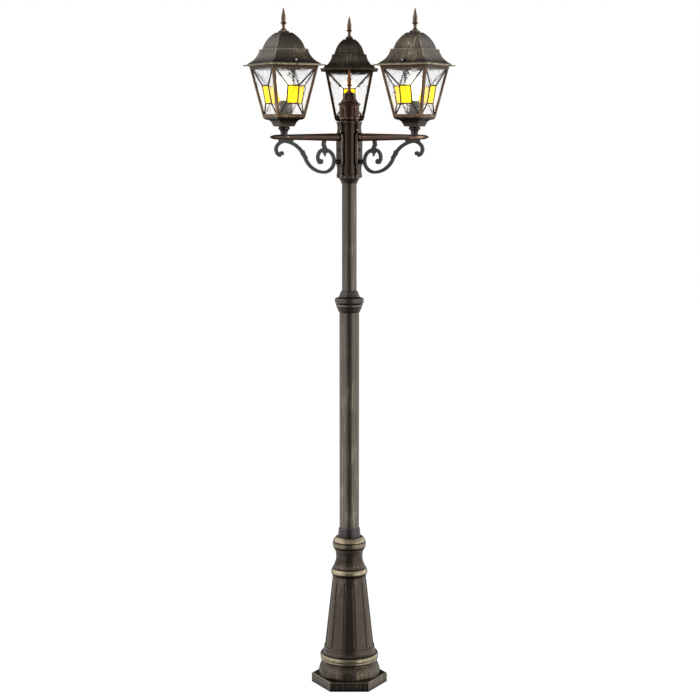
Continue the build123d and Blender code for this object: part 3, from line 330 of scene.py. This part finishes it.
# %% Shading of the CAD nodes
SHARP_ANGLE = math.radians(32)
WELD_DISTANCE = 0.00001


def shade_smooth(piece):
    """Smooth shading with sharp edges where the surface turns by more than the angle."""
    mesh = piece.data
    mesh.polygons.foreach_set("use_smooth", [True] * len(mesh.polygons))
    weld = piece.modifiers.new("weld", "WELD")
    weld.merge_threshold = WELD_DISTANCE
    split = piece.modifiers.new("edge_split", "EDGE_SPLIT")
    split.split_angle = SHARP_ANGLE
    split.use_edge_sharp = False


for node in nodes.values():
    shade_smooth(node)
print("smooth nodes:", len(nodes))

# %% [markdown]
# ## Groups for the rubbed metal
#
# The real finish is made in layers: black-brown paint over the casting, then gold or copper
# paste wiped on with a dry cloth. The paste stays on edges and high rings, and leaves long thin
# streaks in the direction of the wipe: up and down the post, along an arm, or up the slope of a
# roof on whichever side it lies. Three groups say so once for every metal: where the edges and
# the hollows are, how the streaks run, and at which height of the post there is a band.

# %% Group: edges
EDGE_TURN = (0.995, 0.90)      # cosine of flat against rounded normal: no edge, full edge
EDGE_BREAKS = (0.30, 0.62)     # grain that keeps the paste off an edge, and that takes it all
HOLLOW_REACH = 0.024           # metres within which another surface makes a hollow
HOLLOW_OPEN = (0.95, 0.50)     # how open a point is: no hollow, full hollow
CORNER_RADIUS = 0.0008         # the small rounding that every corner shows

edge_group, given, result = new_group(
    "edge wear", [("Radius", FLOAT, 0.002), ("Break up", FLOAT, 60.0)],
    [("Edge", FLOAT), ("Hollow", FLOAT), ("Normal", VECTOR)])
rounded = add_node(edge_group, "ShaderNodeBevel", {"Radius": given.outputs["Radius"]}, samples=6)
flat = add_node(edge_group, "ShaderNodeNewGeometry").outputs["Normal"]
turn = vector_math(edge_group, "DOT_PRODUCT", rounded.outputs[0], flat)
grain = noise(edge_group, object_place(edge_group), given.outputs["Break up"], detail=4.0,
              roughness=0.65)
broken = times(edge_group, ramp(edge_group, turn, *EDGE_TURN),
               ramp(edge_group, grain, *EDGE_BREAKS))
shade = add_node(edge_group, "ShaderNodeAmbientOcclusion", {"Distance": HOLLOW_REACH}, samples=6)
hollow = ramp(edge_group, shade.outputs["AO"], *HOLLOW_OPEN)
open_edge = times(edge_group, broken, math_node(edge_group, "SUBTRACT", 1.0, hollow))
corner = add_node(edge_group, "ShaderNodeBevel", {"Radius": CORNER_RADIUS}, samples=4)
wire(edge_group, open_edge, result.inputs["Edge"])
wire(edge_group, hollow, result.inputs["Hollow"])
wire(edge_group, corner.outputs[0], result.inputs["Normal"])
print("group:", edge_group.name)

# %% Group: dry-cloth streaks
FINE_SHARE, PATCH_SHARE = 0.62, 0.38     # how much the streaks and the larger patches count
NO_COVER, FULL_COVER = 0.66, 0.32        # level where the film starts, at a cover of 0 and 1
FILM_EDGE = 0.16                         # how soft the end of the film is
PORE_SCALE = 900.0

streak_group, given, result = new_group(
    "rubbed streaks",
    [("Scale", VECTOR, (90.0, 90.0, 9.0)), ("Cover", FLOAT, 0.5), ("Patches", FLOAT, 6.0),
     ("Up the slope", FLOAT, 0.0)],
    [("Streak", FLOAT), ("Grain", FLOAT)])
coordinates = add_node(streak_group, "ShaderNodeTexCoord")
place = coordinates.outputs["Object"]
level_way = vector_math(streak_group, "CROSS_PRODUCT", coordinates.outputs["Normal"],
                        (0.0, 0.0, 1.0))
level_way = vector_math(streak_group, "NORMALIZE", level_way)
across = vector_math(streak_group, "DOT_PRODUCT", place, level_way)
height = add_node(streak_group, "ShaderNodeSeparateXYZ", {0: place}).outputs["Z"]
on_slope = add_node(streak_group, "ShaderNodeCombineXYZ", {0: across, 2: height}).outputs[0]
wiped = add_node(streak_group, "ShaderNodeMix",
                 {0: given.outputs["Up the slope"], 4: place, 5: on_slope}, data_type="VECTOR")
long = add_node(streak_group, "ShaderNodeMapping",
                {"Vector": wiped.outputs[1], "Scale": given.outputs["Scale"]})
fine = noise(streak_group, long.outputs[0], 1.0, detail=6.0, roughness=0.7, distortion=0.4)
patch = noise(streak_group, place, given.outputs["Patches"], detail=3.0, roughness=0.55)
pores = noise(streak_group, place, PORE_SCALE, detail=4.0, roughness=0.6)
film = math_node(streak_group, "ADD", times(streak_group, fine, FINE_SHARE),
                 times(streak_group, patch, PATCH_SHARE))
start = between(streak_group, given.outputs["Cover"], NO_COVER, FULL_COVER)
end = math_node(streak_group, "ADD", start, FILM_EDGE)
wire(streak_group, ramp(streak_group, film, start, end), result.inputs["Streak"])
wire(streak_group, pores, result.inputs["Grain"])
print("group:", streak_group.name)

# %% Group: a band at one height
band_group, given, result = new_group(
    "height band", [("Middle", FLOAT, 0.1), ("Half width", FLOAT, 0.01), ("Soft", FLOAT, 0.006)],
    [("Band", FLOAT)])
half = given.outputs["Half width"]
height = add_node(band_group, "ShaderNodeSeparateXYZ", {0: object_place(band_group)}).outputs["Z"]
apart = math_node(band_group, "SUBTRACT", height, given.outputs["Middle"])
apart = math_node(band_group, "ABSOLUTE", apart)
far = math_node(band_group, "ADD", half, given.outputs["Soft"])
wire(band_group, ramp(band_group, apart, far, half), result.inputs["Band"])
print("group:", band_group.name)


# %% [markdown]
# ## The metals
#
# One function lays the layers over each other in a material: the dark paint, a lighter worn
# film in streaks, the rub on edges, streaks and bands, and near-black that is dirt and painted
# shade in the hollows, with dark lines of painted shade beside the mouldings. The paint is
# metallic too, as the soft sheen of the real post shows, and the rub only a little more so: what
# sets them apart is their colour.

# %% New materials
def new_material(name):
    """A material with a Principled shader; returns it, its tree and the shader."""
    material = bpy.data.materials.new(name)
    tree = empty_tree(material)
    shader = add_node(tree, "ShaderNodeBsdfPrincipled")
    add_node(tree, "ShaderNodeOutputMaterial", {"Surface": shader.outputs[0]})
    return material, tree, shader


# %% Rubbed metal
PAINT_METAL, RUB_METAL = 0.90, 0.95
RUB_ROUGH = 0.24
GRAIN_ROUGH = 0.08             # how far the grain moves the roughness either way
THICK_FILM = (0.55, 1.0)       # film that starts to look like the rub, and that does
THIN_BAND = 0.5                # the share of a band's rub that is left where the film is thin
FILM_HEIGHT = 0.25             # how far the film stands up, as a share of the grain
LINE_EDGE = 0.0018             # how soft the edge of a dark line is, in metres
# near-black of dirt and painted shade, in the hollows and in the dark lines
SOOT_AND_SHADE = rgb(14, 11, 9)


def rubbed_metal(name, paint, film, rub, cover=0.5, streaks=(90.0, 90.0, 9.0), patches=6.0,
                 up_slope=0.0, rub_streaks=0.5, edge=0.0022, edge_amount=1.0, bands=(), lines=(),
                 dirt_and_shade_amount=0.9, rough=0.24, grain_depth=0.00005):
    """Metallic paint, a worn film, a rub, and dirt with painted shade. A band has its middle, half
    width, soft edge and amount of rub, and a line its middle, half width and amount of painted
    shade, at a height."""
    material, tree, shader = new_material(name)
    wear = group_node(tree, edge_group, {"Radius": edge})
    streak = group_node(tree, streak_group, {"Scale": streaks, "Cover": cover,
                                             "Patches": patches, "Up the slope": up_slope})
    worn, grain, hollow = streak.outputs["Streak"], streak.outputs["Grain"], wear.outputs["Hollow"]

    rubbed = math_node(tree, "MAXIMUM", times(tree, ramp(tree, worn, *THICK_FILM), rub_streaks),
                       times(tree, wear.outputs["Edge"], edge_amount))
    for middle, half, soft, amount in bands:
        band = group_node(tree, band_group, {"Middle": middle, "Half width": half, "Soft": soft})
        patchy = times(tree, between(tree, worn, THIN_BAND, 1.0), amount)
        rubbed = math_node(tree, "MAXIMUM", rubbed, times(tree, band.outputs[0], patchy))
    clean = math_node(tree, "SUBTRACT", 1.0, hollow)
    rubbed = math_node(tree, "MULTIPLY", rubbed, clean, clamp=True)

    # dirt and painted shade: the hollows darken, and so do the lines at given heights
    dirt_and_shade = times(tree, hollow, dirt_and_shade_amount)
    for middle, half, amount in lines:
        line = group_node(tree, band_group,
                          {"Middle": middle, "Half width": half, "Soft": LINE_EDGE})
        dirt_and_shade = math_node(tree, "MAXIMUM", dirt_and_shade, times(tree, line.outputs[0], amount))

    colour = mix_colour(tree, worn, paint, film)
    colour = mix_colour(tree, rubbed, colour, rub)
    wire(tree, mix_colour(tree, dirt_and_shade, colour, SOOT_AND_SHADE), shader.inputs["Base Color"])
    wire(tree, between(tree, rubbed, PAINT_METAL, RUB_METAL), shader.inputs["Metallic"])
    grained = between(tree, grain, rough - GRAIN_ROUGH, rough + GRAIN_ROUGH)
    wire(tree, math_node(tree, "ADD", grained, times(tree, rubbed, RUB_ROUGH - rough)),
         shader.inputs["Roughness"])
    relief = math_node(tree, "ADD", grain, times(tree, worn, FILM_HEIGHT))
    bump = add_node(tree, "ShaderNodeBump", {"Distance": grain_depth, "Height": relief,
                                             "Normal": wear.outputs["Normal"]})
    wire(tree, bump.outputs[0], shader.inputs["Normal"])
    return material


# %% Dressing the nodes
SLOT_OF = {part["node"]: part["material_slot"] for part in frame["record"]["subparts"]}


def dress(slot_name, material, only=(), but=()):
    """Gives a material to the CAD nodes of a slot: to all of them, only some, or all but some."""
    chosen = [n for n in nodes if SLOT_OF[n] == slot_name and (n in only or not only)
              and n not in but]
    for name in chosen:
        nodes[name].data.materials.clear()
        nodes[name].data.materials.append(material)
    print(f"{material.name}: {len(chosen)} nodes")


# %% [markdown]
# The base is the richest casting. Its bead, its ring and the upper half of its ball are bright
# where the cloth reached them, and a thin line of painted shade lies on both sides of each.

# %% Base casting
BASE_BANDS = (
    (0.0305, 0.001, 0.001, 0.55),      # painted highlight on the top edge of the plinth
    (0.058, 0.006, 0.012, 0.14),       # shoulder of the torus
    (0.096, 0.0085, 0.002, 0.85),      # grooved bead
    (0.3945, 0.0055, 0.002, 0.95),     # ring above the cone
    (0.504, 0.007, 0.003, 0.95),       # upper half of the ball
    (0.485, 0.005, 0.004, 0.40),       # belly of the ball
    (0.467, 0.002, 0.002, 0.60),       # lip under the ball
)
# painted shade: thin dark lines in the creases beside the mouldings, broad ones on neck and torus
BASE_SHADE_LINES = (
    (0.109, 0.001, 0.75),              # above the bead
    (0.0815, 0.001, 0.75),             # below the bead
    (0.4035, 0.0015, 0.75),            # above the ring
    (0.3815, 0.003, 0.75),             # below the ring
    (0.437, 0.020, 0.30),              # broad painted shade on the waist of the neck
    (0.050, 0.024, 0.30),              # broad painted shade on the belly of the torus
    (0.4745, 0.002, 0.75),             # under the ball's belly
    (0.4945, 0.0012, 0.75),            # over the ball's belly
)
dress("cast_patina", only=("base_casting",), material=rubbed_metal(
    "base casting paint", rgb(92, 82, 73), rgb(148, 134, 116), rgb(236, 218, 182), cover=0.46,
    streaks=(130.0, 130.0, 14.0), edge_amount=0.4, rub_streaks=0.2, bands=BASE_BANDS,
    lines=BASE_SHADE_LINES))

# %% Collar, hub, tubes and sleeve
COLLAR_BANDS = (
    (1.3015, 0.0012, 0.001, 0.90),     # small ridge
    (1.3235, 0.001, 0.001, 0.50),      # painted highlight on the rim of the proud band
    (1.316, 0.002, 0.003, 0.08),       # face of the band
)
# painted shade: thin dark lines in the creases of the collar and under its skirt
COLLAR_SHADE_LINES = (
    (1.3055, 0.0012, 0.7),             # between ridge and band
    (1.3285, 0.0015, 0.6),             # foot of the cone
    (1.2785, 0.0008, 0.7),             # under the skirt
)
SHADE_INSIDE_HUB = (1.815, 0.105, 0.50)      # painted shade: the tube is darker between the arm plates

collar_paint = rubbed_metal(
    "collar paint", rgb(88, 84, 80), rgb(130, 121, 113), rgb(226, 210, 180), cover=0.40,
    edge_amount=0.6, bands=COLLAR_BANDS, lines=COLLAR_SHADE_LINES)
dress("cast_patina", collar_paint, only=("mid_collar",))
# the hub's edges take the rub strongly; on the rims of its notches this is also a painted highlight
dress("cast_patina", only=("hub_casting",), material=rubbed_metal(
    "hub paint", rgb(82, 73, 68), rgb(118, 108, 100), rgb(220, 204, 178), cover=0.40,
    rub_streaks=0.3, edge=0.0028, edge_amount=1.2, dirt_and_shade_amount=0.7))
dress("tube_patina", rubbed_metal(
    "tube paint", rgb(112, 105, 96), rgb(172, 162, 147), rgb(222, 206, 174), cover=0.46,
    streaks=(200.0, 200.0, 6.0), rough=0.20, grain_depth=0.00003, lines=(SHADE_INSIDE_HUB,)))
dress("dark_cast", rubbed_metal(
    "dark cast paint", rgb(92, 87, 88), rgb(112, 106, 107), rgb(200, 186, 160), cover=0.3,
    rub_streaks=0.2))

# %% [markdown]
# The lanterns and arms are redder than the post, the scrolls are nearly black, and the pieces on
# top are copper. The hub finial, in front of the middle bulb, is the brightest: its copper is
# lightened with painted light from that bulb.

# %% Lanterns, arms and copper
TRAYS = [name for name in nodes if name.endswith("_tray")]
dress("lantern_patina", but=TRAYS, material=rubbed_metal(
    "lantern paint", rgb(98, 76, 60), rgb(150, 118, 90), rgb(222, 182, 134), cover=0.42,
    rub_streaks=0.4))
dress("lantern_patina", only=TRAYS, material=rubbed_metal(
    "tray paint", rgb(60, 52, 45), rgb(92, 81, 68), rgb(200, 170, 128), cover=0.38,
    rub_streaks=0.3))
dress("roof_patina", rubbed_metal(
    "roof paint", rgb(88, 80, 72), rgb(142, 130, 112), rgb(236, 218, 180),
    streaks=(420.0, 420.0, 16.0), rub_streaks=0.45, patches=14.0, edge=0.0036, edge_amount=1.8,
    up_slope=1.0))
dress("arm_patina", rubbed_metal(
    "arm paint", rgb(100, 80, 68), rgb(172, 138, 116), rgb(240, 204, 174),
    streaks=(30.0, 30.0, 160.0), rub_streaks=0.7, rough=0.2))
dress("copper_patina", only=("hub_cap",), material=rubbed_metal(
    "hub cap copper", rgb(92, 72, 62), rgb(128, 98, 80), rgb(220, 190, 158), cover=0.42,
    rub_streaks=0.1, edge=0.0034, edge_amount=1.8))
# the hub finial's copper is lighter, with painted light from the middle bulb behind it
dress("copper_patina", only=("hub_finial",), material=rubbed_metal(
    "copper with painted bulb light", rgb(170, 116, 76), rgb(206, 150, 100), rgb(240, 196, 140),
    rub_streaks=0.6))
dress("copper_patina", but=("hub_cap", "hub_finial"), material=rubbed_metal(
    "finial paint", rgb(134, 112, 92), rgb(186, 158, 128), rgb(236, 206, 168),
    rub_streaks=0.6))
dress("scroll_black", rubbed_metal(
    "scroll paint", rgb(72, 73, 71), rgb(98, 100, 96), rgb(140, 134, 122), cover=0.3,
    rub_streaks=0.2, edge_amount=0.4))


# %% [markdown]
# ## Two forms that the castings lack
#
# The photograph shows the collar with a small ridge, a proud band and a steep cone above it, and
# a rounded cover between the arm plates of the hub, which hides the tube. Both are turned from a
# closed outline: the collar all the way round, and each of the three covers through a quarter
# of a turn.

# %% Turning an outline
MM = 0.001


def turned_piece(name, outline, start=0.0, sweep=360.0, steps=96):
    """A closed outline of (radius, height) in mm, turned about the post's axis; seen with the
    axis on its left, the outline runs clockwise."""
    whole = sweep >= 360.0
    stations = steps if whole else steps + 1
    points = []
    for step in range(stations):
        turn = math.radians(start + sweep * step / steps)
        points += [(r * MM * math.cos(turn), r * MM * math.sin(turn), z * MM) for r, z in outline]
    size = len(outline)
    faces = []
    for step in range(steps):
        here, there = step * size, (step + 1) % stations * size
        for k in range(size):
            after = (k + 1) % size
            faces.append((here + k, there + k, there + after, here + after))
    if not whole:
        faces += [tuple(reversed(range(size))), tuple(range(steps * size, (steps + 1) * size))]
    mesh = bpy.data.meshes.new(name)
    mesh.from_pydata(points, [], faces)
    mesh.update()
    piece = bpy.data.objects.new(name, mesh)
    bpy.context.scene.collection.objects.link(piece)
    shade_smooth(piece)
    return piece


# %% Collar moulding
COLLAR_OUTSIDE = ((34.3, 1278), (35.6, 1280), (38.5, 1286), (42.2, 1295), (43.4, 1298.5),
                  (44.8, 1300), (45.2, 1301.5), (44.8, 1303), (43.8, 1304), (44.4, 1306.5),
                  (46.8, 1309), (48.0, 1310.5), (48.3, 1312.5), (48.3, 1321.5), (47.9, 1323.5),
                  (46.6, 1324.8), (42.0, 1326.2), (36.4, 1328.6), (34.2, 1331), (33.4, 1334),
                  (28.8, 1346.5), (27.6, 1348.6))
COLLAR_BORE = ((25.2, 1349), (25.2, 1302), (33.4, 1301), (33.4, 1278))

collar = turned_piece("collar_moulding", tuple(reversed(COLLAR_OUTSIDE + COLLAR_BORE)))
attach(collar, "post")
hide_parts("mid_collar")
collar.data.materials.append(collar_paint)
print("collar:", len(collar.data.vertices), "points")

# %% Hub covers
COVER_HALF_TURN, COVER_STEPS = 45.0, 24
COVER_RADIUS, COVER_INSIDE = 30.0, 27.5
COVER_FOOT, COVER_TOP = 1734.0, 1901.0
COVER_AZIMUTHS = (270, 30, 150)
COVER_OUTLINE = ((COVER_INSIDE, COVER_FOOT), (COVER_INSIDE, COVER_TOP),
                 (COVER_RADIUS, COVER_TOP), (COVER_RADIUS, COVER_FOOT))

cover_paint = rubbed_metal(
    "hub cover paint", rgb(92, 77, 66), rgb(128, 112, 96), rgb(196, 178, 148), cover=0.42,
    streaks=(200.0, 200.0, 6.0), rub_streaks=0.3, edge_amount=0.6, dirt_and_shade_amount=0.3)
for azimuth in COVER_AZIMUTHS:
    cover = turned_piece(f"hub_cover_{azimuth}", COVER_OUTLINE, azimuth - COVER_HALF_TURN,
                         2 * COVER_HALF_TURN, COVER_STEPS)
    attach(cover, "post")
    cover.data.materials.append(cover_paint)
print("hub covers:", len(COVER_AZIMUTHS), "of", COVER_TOP - COVER_FOOT, "mm")

# %% [markdown]
# ## Plain finishes
#
# The lead strips, the lampholders, the screws and the parts inside the base are quieter. Each
# still has its own small grain, so that none is a flat colour.

# %% Plain finishes
SPOT_SCALE, SPOT_DEPTH, SPOT_ROUGH = 250.0, 0.0001, 0.1


def plain_finish(name, colour, metal, rough, vary=0.25):
    """A finish whose colour and gloss vary a little in small spots."""
    material, tree, shader = new_material(name)
    spots = noise(tree, object_place(tree), SPOT_SCALE, detail=5.0)
    darker = tuple(c * (1 - vary) for c in colour[:3]) + (1.0,)
    wire(tree, mix_colour(tree, spots, darker, colour), shader.inputs["Base Color"])
    shader.inputs["Metallic"].default_value = metal
    wire(tree, between(tree, spots, rough - SPOT_ROUGH, rough + SPOT_ROUGH),
         shader.inputs["Roughness"])
    bump = add_node(tree, "ShaderNodeBump", {"Distance": SPOT_DEPTH, "Height": spots})
    wire(tree, bump.outputs[0], shader.inputs["Normal"])
    return material


dress("lead_came", plain_finish("lead", rgb(44, 40, 38), metal=0.2, rough=0.5))
dress("holder_black", plain_finish("lampholder", rgb(38, 32, 32), metal=0.0, rough=0.4))
dress("screw_steel", plain_finish("bright screw", rgb(190, 186, 178), metal=1.0, rough=0.3))
dress("black_screw", plain_finish("black screw", rgb(36, 34, 33), metal=0.3, rough=0.35))
dress("zinc_steel", plain_finish("zinc plate", rgb(170, 172, 175), metal=1.0, rough=0.38))
dress("bulb_cap_metal", plain_finish("bulb cap", rgb(200, 200, 200), metal=1.0, rough=0.3))
dress("terminal_plastic", plain_finish("terminal block", rgb(225, 223, 215), metal=0.0,
                                       rough=0.45, vary=0.05))
dress("brass_nipple", plain_finish("brass", rgb(190, 150, 80), metal=1.0, rough=0.35))

# %% [markdown]
# ## Glass
#
# The clear panes are water glass: rolled, with soft irregular ripples that bend what is seen
# through them and draw thin grey lines, and with a faint painted glow beside the lit bulb, for
# the bulb's light that the glass scatters. The amber pane is the same sheet, coloured through
# and slightly milky: it glows wherever the bulb behind it is near, so its glow is worked out from
# the distance between the pane and the bulb.

# %% Group: rolled glass
CELL_SHARE = 0.5     # how much the cells count, beside the swell

glass_group, given, result = new_group("rolled glass", [("Size", FLOAT, 60.0)], [("Height", FLOAT)])
place, size = object_place(glass_group), given.outputs["Size"]
swell = noise(glass_group, place, size, detail=2.0, distortion=1.6)
cells = add_node(glass_group, "ShaderNodeTexVoronoi", {"Vector": place, "Scale": size},
                 feature="SMOOTH_F1")
height = math_node(glass_group, "ADD", swell,
                   times(glass_group, cells.outputs["Distance"], CELL_SHARE))
wire(glass_group, height, result.inputs["Height"])
print("group:", glass_group.name)

# %% Group: nearness of the bulbs
BULB_LEVEL, BULB_RING = 1.985, 0.243     # height of the bulbs, and distance from the axis
BULB_AZIMUTHS = (210, 330, 90)

near_group, given, result = new_group(
    "near the bulb", [("Close", FLOAT, 0.05), ("Far", FLOAT, 0.11)], [("Near", FLOAT)])
place = object_place(near_group)
gaps = []
for azimuth in BULB_AZIMUTHS:
    turn = math.radians(azimuth)
    bulb_middle = (BULB_RING * math.cos(turn), BULB_RING * math.sin(turn), BULB_LEVEL)
    gaps.append(vector_math(near_group, "DISTANCE", place, bulb_middle))
nearest = math_node(near_group, "MINIMUM", math_node(near_group, "MINIMUM", *gaps[:2]), gaps[2])
near = ramp(near_group, nearest, given.outputs["Far"], given.outputs["Close"])
wire(near_group, near, result.inputs["Near"])
print("group:", near_group.name)


# %% Rolled glass
def rolled_glass(name, colour, clear, rough, depth, size):
    """Rippled glass; clear is how much of the light passes. Returns its ripple too."""
    material, tree, shader = new_material(name)
    ripple = group_node(tree, glass_group, {"Size": size}).outputs[0]
    bump = add_node(tree, "ShaderNodeBump", {"Distance": depth, "Height": ripple})
    wire(tree, bump.outputs[0], shader.inputs["Normal"])
    shader.inputs["Base Color"].default_value = colour
    shader.inputs["Transmission Weight"].default_value = clear
    shader.inputs["Roughness"].default_value = rough
    shader.inputs["IOR"].default_value = 1.45
    return material, tree, shader, ripple


# %% Clear panes
# painted glow of the bulb's light on clear glass: strength, distance where full, where it ends
GLASS_GLOW, GLASS_GLOW_CLOSE, GLASS_GLOW_FAR = 0.07, 0.03, 0.085
clear_glass, tree, shader, ripple = rolled_glass(
    "clear water glass", rgb(252, 252, 252), clear=1.0, rough=0.02, depth=0.0010, size=46.0)
near = group_node(tree, near_group, {"Close": GLASS_GLOW_CLOSE, "Far": GLASS_GLOW_FAR}).outputs["Near"]
shader.inputs["Emission Color"].default_value = rgb(255, 236, 196)
wire(tree, times(tree, near, GLASS_GLOW), shader.inputs["Emission Strength"])
dress("clear_glass", clear_glass)

# %% Amber panes
AMBER_GLOW, AMBER_NEAR, AMBER_UNEVEN = 0.10, 0.30, 0.22
HIGH_RIPPLE = (0.45, 0.95)
amber_glass, tree, shader, ripple = rolled_glass(
    "amber glass", rgb(255, 210, 6), clear=0.62, rough=0.15, depth=0.0008, size=60.0)
near = group_node(tree, near_group).outputs["Near"]
glow_colour = mix_colour(tree, near, rgb(255, 196, 0), rgb(255, 232, 30))
wire(tree, glow_colour, shader.inputs["Emission Color"])
glow_level = between(tree, ramp(tree, ripple, *HIGH_RIPPLE), AMBER_GLOW,
                     AMBER_GLOW + AMBER_UNEVEN)
wire(tree, math_node(tree, "MULTIPLY_ADD", near, AMBER_NEAR, glow_level),
     shader.inputs["Emission Strength"])
dress("amber_glass", amber_glass)

# %% [markdown]
# ## The bulbs
#
# The bulbs are on, and the photograph shows them as burnt-out warm white. The glass envelope
# itself glows, most where it faces the viewer and warmer towards its outline, which also lights
# the lantern from inside as the real one does.

# %% Lit bulb
GLOW_MIDDLE, GLOW_EDGE = 2.6, 0.95
bulb, tree, shader = new_material("lit bulb")
facing = add_node(tree, "ShaderNodeLayerWeight", {"Blend": 0.35}).outputs["Facing"]
wire(tree, mix_colour(tree, facing, rgb(255, 244, 220), rgb(255, 226, 170)),
     shader.inputs["Emission Color"])
wire(tree, between(tree, facing, GLOW_MIDDLE, GLOW_EDGE), shader.inputs["Emission Strength"])
shader.inputs["Base Color"].default_value = rgb(255, 250, 240)
shader.inputs["Roughness"].default_value = 0.3
dress("lit_bulb", bulb)

# %% Last lines: the nodes left with no material
bare = [n for n, o in nodes.items() if not o.data.materials]
print("nodes with no material:", bare)
